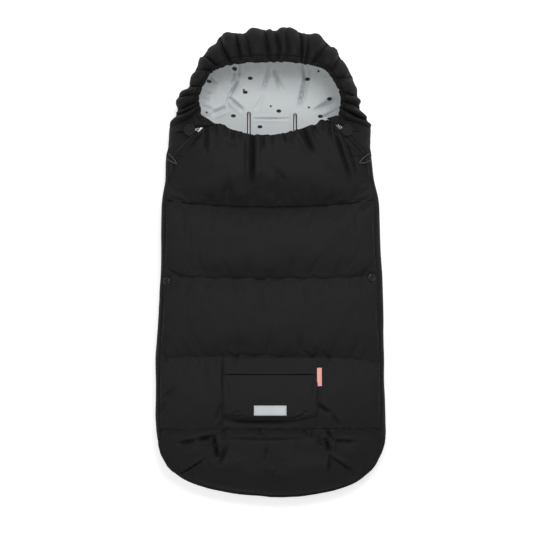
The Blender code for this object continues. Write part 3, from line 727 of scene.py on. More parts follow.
@dataclass(frozen=True)
class Lines:
    """Outline and rim of the footmuff, the same as the model's, but smooth.

    A place t counts the rows of the two tables from the foot's middle, and the right half
    is given; the left is its mirror image.
    """

    length: float = 0.940
    width: float = 0.460
    edge_height: float = 0.036
    rim_height: float = 0.060
    hood_height: float = 0.104
    zip_inset: float = 0.0085
    zip_slot: float = 0.008
    body_shares: tuple[Triple, ...] = (
        (0.00, -1.000, 1.0), (0.28, -0.990, 1.0), (0.53, -0.966, 1.0), (0.69, -0.941, 1.0),
        (0.80, -0.912, 1.0), (0.90, -0.866, 1.0), (0.96, -0.800, 1.0), (0.99, -0.740, 1.0),
        (0.998, -0.660, 1.0), (1.00, -0.587, 1.0), (0.996, -0.417, 1.0), (0.978, -0.247, 1.0),
        (0.965, -0.077, 1.0), (0.952, 0.051, 1.0), (0.939, 0.245, 1.0), (0.904, 0.349, 0.65),
    )
    head_shares: tuple[tuple[float, ...], ...] = (
        (0.877, 0.457, 0.852, 0.457, 0.635), (0.872, 0.520, 0.724, 0.520, 0.789),
        (0.865, 0.583, 0.596, 0.583, 0.942), (0.822, 0.626, 0.604, 0.638, 0.965),
        (0.787, 0.689, 0.622, 0.685, 0.98), (0.743, 0.732, 0.609, 0.719, 1.0),
        (0.691, 0.791, 0.565, 0.764, 1.0), (0.613, 0.860, 0.504, 0.806, 1.0),
        (0.565, 0.894, 0.457, 0.820, 1.0), (0.491, 0.928, 0.383, 0.833, 1.0),
        (0.387, 0.970, 0.287, 0.842, 1.0), (0.200, 0.990, 0.148, 0.848, 1.0),
        (0.000, 1.000, 0.000, 0.850, 1.0),
    )

    bulges_left: Pairs = (
        (0, -0.5), (6.0, -0.5), (6.8, -1.2), (7.9, 0.0), (9.5, -0.8), (10.0, 0.4), (11.2, -0.6),
        (12.2, -1.2), (13.6, 0.2), (15.0, 1.0), (15.8, 3.2), (16.4, 1.4), (17.7, 0.9), (18.6, 0.2),
        (19.3, -0.6), (19.7, 1.2), (20.0, 2.8), (20.45, 2.8), (21.0, 0.6), (21.4, -3.0), (22.1, -1.9),
        (22.5, -0.8), (23.1, -0.2), (24.3, -0.7), (25.05, -1.6), (25.5, 1.4), (26.0, 1.2), (26.5, -0.5),
        (26.78, -3.4), (27.1, -0.2), (27.4, 0.3), (27.7, -0.6), (28.0, -2.0),
    )
    bulges_right: Pairs = (
        (0, 0.8), (2.0, 2.2), (3.2, 2.2), (4.4, 1.4), (5.1, 0.8), (6.1, 1.3), (7.4, 1.5), (9.0, 0.2),
        (9.6, -0.7), (10.4, 0.2), (11.1, 1.5), (12.2, 2.0), (13.0, 1.4), (14.2, 1.4), (15.1, 0.2),
        (15.8, 0.6), (16.4, -0.4), (17.7, 0.9), (18.5, 0.3), (19.0, 0.6), (19.4, -2.9), (20.0, -1.2),
        (20.6, -0.6), (21.4, 0.8), (21.9, 3.4), (22.4, 1.0), (23.0, 1.5), (24.0, 1.8), (25.5, 2.1),
        (26.0, 0.4), (26.5, -1.7), (26.9, 0.2), (27.2, 1.4), (27.5, 2.7), (27.77, -4.4), (28.0, -2.0),
    )

    def bulge(self, t: Array) -> Array:
        """How far the real outline lies outside the model's, in metres."""
        left, right = np.array(self.bulges_left), np.array(self.bulges_right)
        made = np.zeros(len(t))
        for shift in (-0.12, -0.04, 0.04, 0.12):
            place = np.abs(t) + shift
            low = np.interp(place, left[:, 0], left[:, 1])
            high = np.interp(place, right[:, 0], right[:, 1])
            share = mix(ease(t / 0.8 + 0.5), 0.5, ease((np.abs(t) - self.last) / 0.5 + 1))
            made += mix(low, high, share) / 4
        return made * PIXEL

    @property
    def last(self) -> int:
        """The place of the hood's middle."""
        return len(self.body_shares) + len(self.head_shares) - 1

    @property
    def turn(self) -> int:
        """The place where the zip turns in towards the neck."""
        return len(self.body_shares)

    @property
    def neck(self) -> int:
        """The place of the neck corner, where the zip ends."""
        return self.turn + 2

    def knots(self) -> tuple[Array, Array]:
        """Outline and rim at the tables' rows: x, y of the one and x, y, z of the other."""
        half = np.array((self.width / 2, self.length / 2))
        outline = np.array([row[:2] for row in self.body_shares + self.head_shares]) * half
        mirror = np.array((-1.0, 1.0))
        padded = np.vstack((outline[1] * mirror, outline, outline[-2] * mirror))
        inward = unit_rows(left_of(padded[2:] - padded[:-2]))
        body = [(*(outline[k] + inward[k] * self.zip_inset * row[2]), self.rim_height)
                for k, row in enumerate(self.body_shares)]
        head = np.array(self.head_shares)[:, 2:] * (*half, self.hood_height)
        rim = np.vstack((body, head))
        share = (rim[self.turn + 1][1] - rim[self.turn][1]) / (rim[self.neck][1] - rim[self.turn][1])
        rim[self.turn + 1] = mix(rim[self.turn], rim[self.neck], share)
        return outline, rim

    def outline(self, t: Array) -> Array:
        """The widest line seen from above; negative places are on the left."""
        knots = self.knots()[0]
        place = np.abs(t)
        made = spline(knots, place)
        step = spline(knots, np.minimum(place + 0.02, self.last)) - spline(knots, place - 0.02)
        outward = -left_of(step)
        outward[:, 0] *= ease((self.last - place) / 0.4) * ease(place / 0.4)
        made += unit_rows(outward) * self.bulge(t)[:, None]
        made[:, 0] *= np.where(t < 0, -1, 1)
        return made

    def rim(self, t: Array) -> Array:
        """The zip line and the edge of the face opening; negative places are on the left."""
        knots = self.knots()[1]
        place = np.abs(t)
        body = spline(knots[:self.turn + 1], np.clip(place, 0, self.turn))
        straight = mix(knots[self.turn], knots[self.neck],
                       np.clip((place - self.turn) / 2, 0, 1)[:, None])
        hood = spline(knots[self.neck:], np.clip(place - self.neck, 0, None))
        made = np.where((place <= self.turn)[:, None], body,
                        np.where((place <= self.neck)[:, None], straight, hood))
        made[:, 0] *= np.where(t < 0, -1, 1)
        return made

    def zip_line(self, offset: float) -> Array:
        """The rim from the foot to the neck corner, moved inward by an offset, on the right."""
        place = np.linspace(4, self.neck, 400)
        rim = self.rim(place)
        rim[:, :2] += unit_rows(left_of(np.gradient(rim[:, :2], axis=0))) * offset
        return rim

    def around(self, q: Array) -> Array:
        """Places along the outline, from places round the hood that are counted from its middle."""
        return np.where(q < 0, -(self.last + q), self.last - q)


LINES = Lines()


def wall_point(t: Array, angle: Array, lift: Array) -> Array:
    """A point of the upper wall, from the widest line up and in to the rim.

    Args:
        t: places along the outline, negative on the left.
        angle: 0 at the widest line and a quarter turn at the rim.
        lift: how far the cloth stands proud there.

    Returns:
        Points in rows.
    """
    outline, rim = LINES.outline(t), LINES.rim(t)
    way = rim[:, :2] - outline
    span = np.linalg.norm(way, axis=1)
    way /= span[:, None]
    reach = span - span * np.cos(angle) - lift * np.cos(angle)
    plan = outline + way * reach[:, None]
    base = LINES.edge_height
    height = base + (rim[:, 2] - base) * np.sin(angle) + lift * np.sin(angle)
    return np.column_stack((plan, height))


# The front: foot, cover and flap


@dataclass(frozen=True)
class Front:
    """The quilted front as one surface, from the foot seam to the gathered neck edge."""

    crown: float = 0.097
    flap_crown: float = 0.100
    foot_seam: float = -0.331
    knee_seam: float = -0.187
    waist_seam: float = -0.033
    chest_seam: float = 0.115
    seam_dip: float = 0.0175
    roundness: float = 0.62
    neck_sag: float = 0.016
    edge_overlap: float = 0.0022
    skins: float = 0.0043
    loft: float = 0.020
    folds: tuple[Fold, ...] = fold_rows(FoldKind.CREASE, (
        (252.5, 137, 252.0, 190, 3.8, 19), (262.5, 136, 263.5, 152, 2.8, 5.5),
        (301.5, 133, 316, 158, 4.2, 12.5), (334.5, 132, 354, 190, 3, 7.5),
        (345.5, 138, 361, 188, 2.8, 5.5), (206.3, 130, 206.5, 158, 3.4, 8),
        (203, 131, 186, 152, 2.8, 6), (214, 127, 216.5, 142, 2.8, 4.5), (222, 128, 228, 142, 2.8, 4.5),
        (233, 132, 233, 147, 3, 4.5), (240, 135, 243, 146, 2.6, 3.5), (273, 136, 271, 146, 2.6, 3),
        (283, 134, 286, 146, 2.6, 3.5), (293, 132, 290, 147, 3, 4), (311, 127, 317, 140, 2.8, 5),
        (321, 124, 324, 140, 2.8, 4.5), (328, 126, 332, 146, 2.8, 4.5), (166, 203, 184, 212, 3.4, 4),
        (360, 212, 378, 202, 3.4, 4.5), (168, 272, 184, 281, 3.4, 5), (362, 280, 368, 269, 3.4, 5.5),
        (161.5, 414, 164.5, 398, 3.6, 4.5), (164.5, 398, 177, 386, 3.4, 4.5),
        (162, 350, 166, 362, 3.6, 4), (379, 340, 382, 356, 3, 3.5), (228, 352, 235, 359, 3, 4.5),
        (234, 360, 241, 354, 3, 4.5), (306, 352, 312, 358, 3, 4.5), (312, 358, 319, 352, 3, 4),
        (324, 353, 334, 361, 3.4, 4), (319, 405, 333, 416, 3.4, 8), (333, 416, 341, 428, 3.4, 6),
        (219, 428, 227, 414, 4, 6),
    )) + fold_rows(FoldKind.RIDGE, (
        (247, 140, 246, 184, 4, 4), (258.5, 140, 260, 176, 4, 4), (252.8, 180, 263, 168, 4, 3),
        (308, 134, 322, 152, 3.6, 3), (340, 136, 358, 194, 3, 4), (352, 140, 364, 176, 3, 3),
        (201, 136, 196, 158, 3.4, 3), (236.5, 194, 227, 166, 8, 3.4), (238, 194, 252, 187, 7, 2.2),
        (256, 190, 263, 162, 7, 3.4), (263, 166, 274, 190, 7, 3),
    )) + fold_rows(FoldKind.SOFT, (
        (226, 145, 240, 149, 3.4, 3.5), (294, 147, 283, 149, 3.4, 2.5), (229, 172, 225, 202, 7, 3.6),
        (276, 170, 286, 184, 6, 4), (280, 203, 279, 172, 6, 3.4), (166, 290, 184, 283, 3.6, 4),
        (352, 285, 368, 288, 3.6, 3.5), (162.5, 342, 172, 334, 4, 3.5), (222, 356, 222.5, 404, 3, 4.5),
        (222.5, 404, 214, 428, 5, 5.5), (318.8, 388, 319, 416, 2.6, 3.5),
        (228, 421.5, 312, 422.5, 4.5, 9),
    ))
    neck_edge: Pairs = (
        (200, 126), (206, 125), (210.6, 124.2), (214, 123.6), (217, 123.6), (223.4, 124.1), (227, 127.4),
        (232.9, 129.5), (239, 131.1), (246, 132.9), (252, 134.3), (262, 134.9), (271, 134.9),
        (278, 133.8), (286, 132.7), (293.5, 130.6), (301.5, 127.9), (309.5, 125.8), (316, 124.2),
        (318.3, 121.5), (320.3, 119.9), (323, 119.9), (327, 120.6), (332, 122.5), (340, 126),
    )
    seam_bends: tuple[tuple[float, ...], ...] = (
        (0.115, -5.0, 8.5, 9.5, 34), (-0.033, -0.5, 6.0, 7.0, 35), (-0.187, 0.0, -5.0, -13.0, 36),
    )
    puckers: float = 0.55 * MM
    drift: float = 1.5 * MM
    overhang: float = 11.0 * MM
    facing: float = 16.0 * MM
    foot_calm: float = 0.18
    chest_dip: float = 0.009
    bend_room: float = 0.006
    fold_reach: float = 0.034
    settling: Settling = Settling(growth=0.02)

    def seams(self) -> tuple[float, ...]:
        """The quilting seams from the foot to the chest."""
        return (self.foot_seam, self.knee_seam, self.waist_seam, self.chest_seam)

    @property
    def neck_y(self) -> float:
        """The neck edge's place at its corners, before it sags."""
        return float(LINES.zip_line(LINES.zip_slot)[-1][1])

    def edge(self, y: Array) -> tuple[Array, Array]:
        """Half the width and the height of the front's side edge."""
        line = LINES.zip_line(LINES.zip_slot - self.edge_overlap)
        return np.interp(y, line[:, 1], line[:, 0]), np.interp(y, line[:, 1], line[:, 2])

    def fullness(self, y: Array) -> tuple[Array, Array]:
        """How high and how thick the quilting is along the front, from 0 to 1."""
        marks = np.array(self.seams())
        low = np.clip(np.searchsorted(marks, y, side="right") - 1, 0, len(marks) - 2)
        share = np.clip((y - marks[low]) / (marks[low + 1] - marks[low]), 0, 1)
        full = np.maximum(0, 1 - np.abs(2 * share - 1) ** 2.3) ** self.roundness
        flap_share = np.clip((y - self.chest_seam) / (self.neck_y - self.chest_seam), 0, 1)
        late = np.maximum(0, 2 * flap_share - 1)
        rise = np.maximum(0, 1 - np.abs(2 * flap_share - 1) ** 2.3) ** self.roundness
        top = np.where(late > 0, 1 - 0.35 * late ** 4, rise)
        thick = np.where(late > 0, 1 - 0.6 * late ** 2, rise)
        on_flap = y > self.chest_seam
        calm = mix(self.foot_calm, 1.0, ease((y - self.foot_seam) / 0.06))
        return np.where(on_flap, top, mix(1.0, full, calm)), np.where(on_flap, thick, full)

    def relief(self, x: Array, y: Array) -> Array:
        """Folds, puckers at the seams and slow unevenness of the filling."""
        wide = cloth_noise(x / 0.050, y / 0.034, 3) + 0.5 * cloth_noise(x / 0.024, y / 0.020, 4)
        made = folded(self.folds, np.column_stack((x, y))) + self.drift * wide
        for number, seam in enumerate((*self.seams(), self.neck_y - self.neck_sag)):
            away = np.abs(y - seam - 0.003 * cloth_noise(x / 0.05, x * 0, 20 + number))
            ripple = cloth_noise(x / 0.0085, y / 0.045, 5 + number)
            ripple = ripple + 0.6 * cloth_noise(x / 0.0045, y / 0.02, 15 + number)
            made = made + self.puckers * ripple * np.exp(-away / 0.011)
        return made

    def point(self, u: Array, y: Array, level: float) -> Array:
        """A point of the front.

        Args:
            u: place across, -1 at the left edge and 1 at the right.
            y: place along, before the neck edge sags.
            level: 0 on the outer face and 1 on the lining.

        Returns:
            Points in rows.
        """
        half, edge = self.edge(y)
        full, thick = self.fullness(y)
        shift = ease((y - self.chest_seam) / 0.04)
        crown = mix(self.crown, self.flap_crown, shift)
        along = np.clip((y - self.chest_seam) / (self.neck_y - self.chest_seam), 0, 1)
        puffy = np.sqrt(np.maximum(0, 1 - u * u))
        flatter = ease(2.2 * (1 - np.abs(u)))
        profile = mix(puffy, flatter, ease(2 * along))
        dip = self.seam_dip + self.chest_dip * np.exp(-((y - self.chest_seam) / 0.05) ** 2)
        peak = crown - dip * (1 - full)
        out = np.clip((np.abs(u) - 0.75) / 0.25, 0, 1)
        out = out ** 2 * np.sqrt(1 - out ** 20) * (1 - ease((y - 0.17) / 0.05))
        x = u * half + np.sign(u) * self.overhang * out
        plan_y = y - self.neck_sag * ease(along) * (1 - u * u)
        total = self.skins + self.loft * thick * profile
        under = 0.7 * MM * cloth_noise(x / 0.03, plan_y / 0.03, 41)
        z = edge + (peak - edge) * profile - level * (total - under)
        return np.column_stack((x, plan_y, z))

    def wandered(self, points: Array, u: Array, y: Array) -> Array:
        """Points with the seams bent as the sewing pulled them."""
        made = points.copy()
        for seam, middle, left, right, seed in self.seam_bends:
            side = np.where(u < 0, left, right)
            bend = middle + (side - middle) * np.abs(u) ** 2.5
            bend = bend + 1.2 * cloth_noise(points[:, 0] / 0.022, u * 0, seed)
            made[:, 1] += bend * MM * np.exp(-np.abs(y - seam) / 0.032)
        return made

    def gathered(self, points: Array, y: Array) -> Array:
        """The flap's points with its neck edge drawn up by the elastic."""
        away = self.neck_y - y
        on_flap = y > self.chest_seam
        near = np.exp(-away / 0.010) * on_flap
        x = points[:, 0]
        wave = cloth_noise(x / 0.0058, away / 0.03, 31) + 0.5 * cloth_noise(x / 0.0029, away / 0.03, 32)
        made = points.copy()
        made[:, 2] += 2.4 * MM * wave * near
        made[:, 1] += 1.3 * MM * cloth_noise(x / 0.0052, x * 0, 33) * near
        edge = np.array([photo_place(pixel) for pixel in self.neck_edge])
        wanted = np.interp(x, edge[:, 0], edge[:, 1])
        plain = self.neck_y - self.neck_sag * (1 - (x / edge[-1, 0]) ** 2)
        made[:, 1] += (wanted - plain) * np.exp(-away / 0.018) * on_flap
        casing = np.exp(-((away - 0.0105) / 0.0014) ** 2) * on_flap
        made[:, 2] -= 1.3 * MM * casing
        return made

    def panel(self, name: str, low: float, high: float, columns: int, rows: int,
              replaced: tuple[str, ...]) -> Piece:
        """One padded panel of the front, between two values of y."""
        bm, places = grid_mesh(columns, rows)
        u = crowded(places[:, 0], 0.35)
        y = mix(low, high, places[:, 1])
        upper, lower = self.point(u, y, 0.0), self.point(u, y, 1.0)
        sewn = (np.abs(u) > 0.999) | (y > self.neck_y - MM)
        for seam in self.seams():
            sewn |= np.abs(y - seam) < 0.55 * (high - low) / rows
        settled = self.settling.run((columns, rows), upper, sewn)
        settled[:, 2] += self.relief(settled[:, 0], settled[:, 1]) * ease((1 - np.abs(u)) / 0.05)
        settled = self.wandered(self.gathered(settled, y), u, y)
        lower[:, :2] = settled[:, :2]
        lower[:, 2] = np.minimum(lower[:, 2], settled[:, 2] - LEAST_THICKNESS)
        closed_body(bm, settled, lower, np.column_stack((u * self.edge(y)[0], y)))
        middles = np.array([face.calc_center_median() for face in bm.faces])
        outer = np.abs(middles[:, 0]) > self.edge(middles[:, 1])[0] - self.facing
        for face, faced in zip(bm.faces, outer):
            if faced:
                face.material_index = 0
        piece = add_piece(name, bm, (SHELL, LINING), replaced)
        return piece

    @property
    def hinge(self) -> float:
        """The height of both folds, on top of the cover."""
        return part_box("cover_outer")[1].z

    def on_cover(self, piece: Piece) -> None:
        """Bake a piece's placement into its mesh."""
        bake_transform(piece)

    def on_flap(self, piece: Piece) -> None:
        """Bake a piece's placement into its mesh."""
        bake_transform(piece)

    def build(self) -> tuple[BVHTree, BVHTree]:
        """The cover and the flap, with the trees of their surfaces."""
        gap = 0.03 * MM
        cover = self.panel("quilted_cover", self.foot_seam + gap, self.chest_seam - gap, 170, 168, (
            "cover_outer", "cover_filling_shin", "cover_filling_thigh", "cover_filling_lap",
            "cover_lining",
        ))
        flap = self.panel("chest_flap", self.chest_seam + gap, self.neck_y, 180, 76, (
            "flap_outer", "flap_filling", "flap_lining", "neck_elastic",
        ))
        trees = surface_of(cover), surface_of(flap)
        self.on_cover(cover)
        self.on_flap(flap)
        return trees


@dataclass(frozen=True)
class FootBox:
    """The closed foot end, between the foot seam and the widest line."""

    corner: int = 4
    power: float = 2.6
    puff: float = 0.003
    wall: float = 0.012
    settling: Settling = Settling(pressure=3.0, growth=0.03, cap=0.007)
    folds: tuple[Fold, ...] = fold_rows(FoldKind.CREASE, (
        (180, 444.5, 199, 440.5, 3.6, 8), (199, 440.5, 214, 437, 3.6, 11),
        (213.5, 437, 218.5, 463, 3, 12), (218.8, 465, 229.5, 441, 3, 8), (226, 431, 222, 443, 3, 6),
        (180.6, 475, 211.5, 455.5, 1.9, 6.5), (326, 440, 330.7, 455.7, 3, 11),
        (330.7, 455.7, 328, 478, 2.6, 7.5), (327, 430, 333, 442, 3, 7), (318, 437, 322, 450, 3, 5),
        (330.7, 457.3, 359.5, 476.8, 1.9, 6.5), (334, 441.5, 360, 443.5, 3.4, 6.5),
        (267.7, 445, 264, 466, 3, 5), (258, 428, 262, 439, 2.8, 5), (303, 428, 308, 440, 2.8, 6),
        (311, 440, 313, 428, 2.8, 4), (225, 427, 221, 438, 2.8, 6),
    )) + fold_rows(FoldKind.RIDGE, (
        (221.5, 440, 219, 458, 2.6, 5), (181.5, 472, 209.5, 454, 3, 2.2), (334, 438, 336, 453, 3, 5),
        (333, 455, 358, 472, 3, 2.2), (262, 437, 266, 429, 2.8, 3), (198, 450, 180, 458, 11, 4),
        (344, 450, 364, 457, 11, 4),
    )) + fold_rows(FoldKind.SOFT, (
        (273.5, 449, 272, 480, 4, 2.2), (297, 441, 298.5, 456, 3.4, 3.6),
        (228, 439.8, 318, 439.8, 2.6, 3.6), (205, 459, 211, 475, 4, 3), (192, 470, 196, 484, 3.5, 2.6),
        (346, 471, 342, 486, 3.5, 2.6),
    ))

    def point(self, u: Array, v: Array, depth: float) -> Array:
        """A point of the foot box, u across and v from the seam down to the widest line."""
        corner_y = LINES.knots()[0][self.corner][1]
        side_y = mix(FRONT.foot_seam, corner_y, v)
        half, y = np.zeros((2, len(u)))
        for side in Side:
            line = LINES.outline(side.value * np.linspace(0, 14, 500))
            reach = np.abs(line[:, 0])
            on_side = u * side.value >= 0
            half = np.where(on_side, np.interp(side_y, line[100:, 1], reach[100:]), half)
            foot = np.interp(np.abs(u) * half, reach[:180], line[:180, 1])
            y = np.where(on_side, side_y + v * v * (np.minimum(foot, corner_y) - corner_y), y)
        across = np.maximum(0, 1 - np.abs(u) ** self.power) ** (1 / self.power)
        along = np.maximum(0, 1 - v ** self.power) ** (1 / self.power)
        peak = FRONT.crown - FRONT.foot_calm * FRONT.seam_dip
        peak = peak + self.puff * np.sin(math.pi * np.minimum(1, 1.2 * v))
        z = LINES.edge_height + (peak - LINES.edge_height - depth) * across * along
        return np.column_stack((u * (half - depth), y + depth * v, z))

    def build(self) -> BVHTree:
        """The foot box as one padded body, with the tree of its surface."""
        size = (170, 72)
        bm, places = grid_mesh(*size)
        u = crowded(places[:, 0], 0.6)
        v = np.sin(QUARTER * (1 - places[:, 1]))
        upper, lower = self.point(u, v, 0.0), self.point(u, v, self.wall)
        sewn = (np.abs(u) > 0.9995) | (v < 1e-4) | (v > 0.9995)
        settled = self.settling.run(size, upper, sewn)
        inside = ease((1 - np.abs(u)) / 0.06) * ease((1 - v) / 0.06)
        relief = folded(self.folds, settled[:, :2]) + FRONT.relief(*settled[:, :2].T) * 0.7
        settled[:, 2] += relief * inside
        lower[:, :2] = mix(lower[:, :2], settled[:, :2], inside[:, None])
        lower[:, 2] = np.minimum(lower[:, 2], settled[:, 2] - LEAST_THICKNESS * inside)
        closed_body(bm, settled, lower, upper[:, :2].copy())
        piece = add_piece("foot_box", bm, (SHELL, PLAIN_LINING),
                          ("foot_outer", "foot_wadding", "foot_lining"))
        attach(piece, "back")
        return surface_of(piece)


FRONT = Front()


# The back: base, side panels, hood and lining


@dataclass(frozen=True)
class Slot:
    """A harness slot through the back, with the node of its binding."""

    name: str
    node: str
    x: float
    low: float
    high: float
    width: float = 0.013
    lip: float = 0.0052

    @property
    def middle(self) -> float:
        """The middle of its length."""
        return (self.low + self.high) / 2

    def column(self, size: tuple[float, float], low: float, high: float) -> Mesh:
        """A block that stands in the slot, between two heights."""
        bm = bmesh.new()
        bmesh.ops.create_cube(bm, size=1)
        bmesh.ops.scale(bm, vec=(*size, high - low), verts=bm.verts[:])
        bmesh.ops.translate(bm, vec=(self.x, self.middle, (low + high) / 2), verts=bm.verts[:])
        return bm


@dataclass(frozen=True)
class Back:
    """The base with its rolled edge, the side panels and the harness slots."""

    cloth: float = 0.0016
    lining_height: float = 0.0190
    opening: float = 8.0 * MM
    narrowing: float = 0.2
    binding: float = 1.1 * MM
    panel_ends: tuple[float, float] = (6.9, LINES.neck + 0.25)
    slots: tuple[Slot, ...] = (
        Slot("harness_slot_left", "harness_slot_binding_left", -0.0425, 0.150, 0.306),
        Slot("harness_slot_right", "harness_slot_binding_right", 0.0505, 0.150, 0.303),
        Slot("crotch_slot", "crotch_slot_binding", 0.0, -0.110, -0.020),
    )

    def base(self) -> None:
        """The floor and its rolled edge."""
        bm, places = grid_mesh(480, 12)
        t = (2 * places[:, 0] - 1) * LINES.last
        angle = QUARTER * (places[:, 1] - 1)
        outline = LINES.outline(t)
        ahead = np.where(t < LINES.last - 0.1, 1, -1)
        inward = left_of((LINES.outline(t + 0.02 * ahead) - outline) * ahead[:, None])
        inward *= np.sign(inward[:, 0] * -outline[:, 0] + inward[:, 1] * -outline[:, 1])[:, None]
        inward[:, 0] *= ease((LINES.last - np.abs(t)) / 0.6)
        inward = unit_rows(inward)
        radius = LINES.edge_height
        wave = 0.6 * MM * cloth_noise(outline[:, 0] / 0.03, outline[:, 1] / 0.03, 51) * np.cos(angle)
        plan = outline + inward * (radius - (radius + wave) * np.cos(angle))[:, None]
        height = radius + radius * np.sin(angle)
        put(bm, np.column_stack((plan, height)))
        lay_uv(bm, plan)
        bmesh.ops.remove_doubles(bm, verts=bm.verts[:], dist=0.05 * MM)
        lowest = [edge for edge in bm.edges if edge.is_boundary
                  and max(vert.co.z for vert in edge.verts) < radius / 2]
        filled = bmesh.ops.edgeloop_fill(bm, edges=lowest)["faces"]
        bmesh.ops.triangulate(bm, faces=filled)
        face_out(bm)
        piece = add_piece("base_shell", bm, (SHELL,), ("back_outer", "back_wadding"))
        thicken(piece, self.cloth)
        for slot in self.slots:
            self.cut(piece, slot)
        for vert in piece.data.vertices:
            vert.co.z = max(vert.co.z, 0.0)
        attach(piece, "back")

    def cut(self, piece: Piece, slot: Slot) -> None:
        """Cut a harness slot through a piece."""
        size = slot.width, slot.high - slot.low
        tool = new_object("slot_cut", slot.column(size, -LINES.rim_height, LINES.rim_height))
        cut = piece.modifiers.new("slot", "BOOLEAN")
        cut.operation = "DIFFERENCE"
        cut.solver = "MANIFOLD"
        cut.object = tool
        bake(piece)
        bpy.data.objects.remove(tool, do_unlink=True)

    def bindings(self) -> None:
        """The bound edge of each harness slot: a folded tape round it, on both faces."""
        for slot in self.slots:
            top = self.lining_height + 1.2 * MM
            bm = slot.column((self.opening, slot.high - slot.low - 6 * MM), 0.0, top)
            caps = [face for face in bm.faces if abs(face.normal.z) > 0.5]
            bmesh.ops.delete(bm, geom=caps, context="FACES_ONLY")
            upright = [edge for edge in bm.edges if abs(edge.verts[0].co.z - edge.verts[1].co.z) > MM]
            bmesh.ops.bevel(bm, geom=upright, offset=0.48 * self.opening, segments=5, profile=0.5,
                            affect="EDGES", material=-1)
            # The walls inside the slot take the darkened lining, which is painted shade.
            for face in bm.faces:
                face.material_index = 1
            for vert in bm.verts:
                if vert.co.z < MM:
                    vert.co.x = slot.x + (vert.co.x - slot.x) * self.narrowing
            for level in (top, 0.0):
                rim = [edge for edge in bm.edges if edge.is_boundary
                       and abs(edge.verts[0].co.z - level) < 2 * MM
                       and abs(edge.verts[1].co.z - level) < 2 * MM]
                flange = bmesh.ops.extrude_edge_only(bm, edges=rim)["geom"]
                for item in flange:
                    if isinstance(item, bmesh.types.BMFace):
                        item.material_index = 0
                    elif isinstance(item, bmesh.types.BMVert):
                        reach = item.co - Vector((slot.x, slot.middle, item.co.z))
                        item.co.x += math.copysign(slot.lip, reach.x)
                        item.co.y += math.copysign(min(slot.lip, abs(reach.y)), reach.y)
            face_out(bm)
            if max(bm.faces, key=lambda face: face.calc_center_median().z).normal.z < 0:
                bmesh.ops.reverse_faces(bm, faces=bm.faces[:])
            lay_uv(bm, np.array([(vert.co.y, vert.co.x + vert.co.z) for vert in bm.verts]))
            # The second finish is the darkened lining on the slot walls: painted shade.
            piece = add_piece(f"{slot.name}_binding", bm, (PLAIN_LINING, SLOT_PAINTED_SHADE),
                              (slot.node,))
            thicken(piece, self.binding)
            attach(piece, "back")

    def side_panels(self) -> None:
        """The strips between the widest line and the zip, left and right."""
        for side in Side:
            bm, places = grid_mesh(260, 26)
            place = mix(*self.panel_ends, places[:, 0])
            t = place * side.value
            angle = QUARTER * places[:, 1]
            plan = LINES.outline(t)
            lift = 1.0 * MM * cloth_noise(plan[:, 0] / 0.02, plan[:, 1] / 0.028, 61)
            shoulder = ease((place - 15) / 1.5)
            lift = lift + shoulder * 2.2 * MM * cloth_noise(places[:, 1] * 3, plan[:, 1] / 0.012, 62)
            lift *= np.sin(angle * 2) * 0.8 + 0.2
            lift -= 3.0 * MM * ease((place - 17.45) / 0.4)
            put(bm, wall_point(t, angle, lift))
            lay_uv(bm, np.column_stack((plan[:, 1], angle * 0.05)))
            if side is Side.LEFT:
                bmesh.ops.reverse_faces(bm, faces=bm.faces[:])
            word = side.word
            piece = add_piece(f"side_panel_{word}", bm, (SHELL,), (
                f"side_panel_outer_{word}", f"side_panel_wadding_{word}",
            ))
            thicken(piece, self.cloth)
            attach(piece, "back")

    def build(self) -> None:
        """All of the back but its hood and lining."""
        self.base()
        self.side_panels()
        self.bindings()


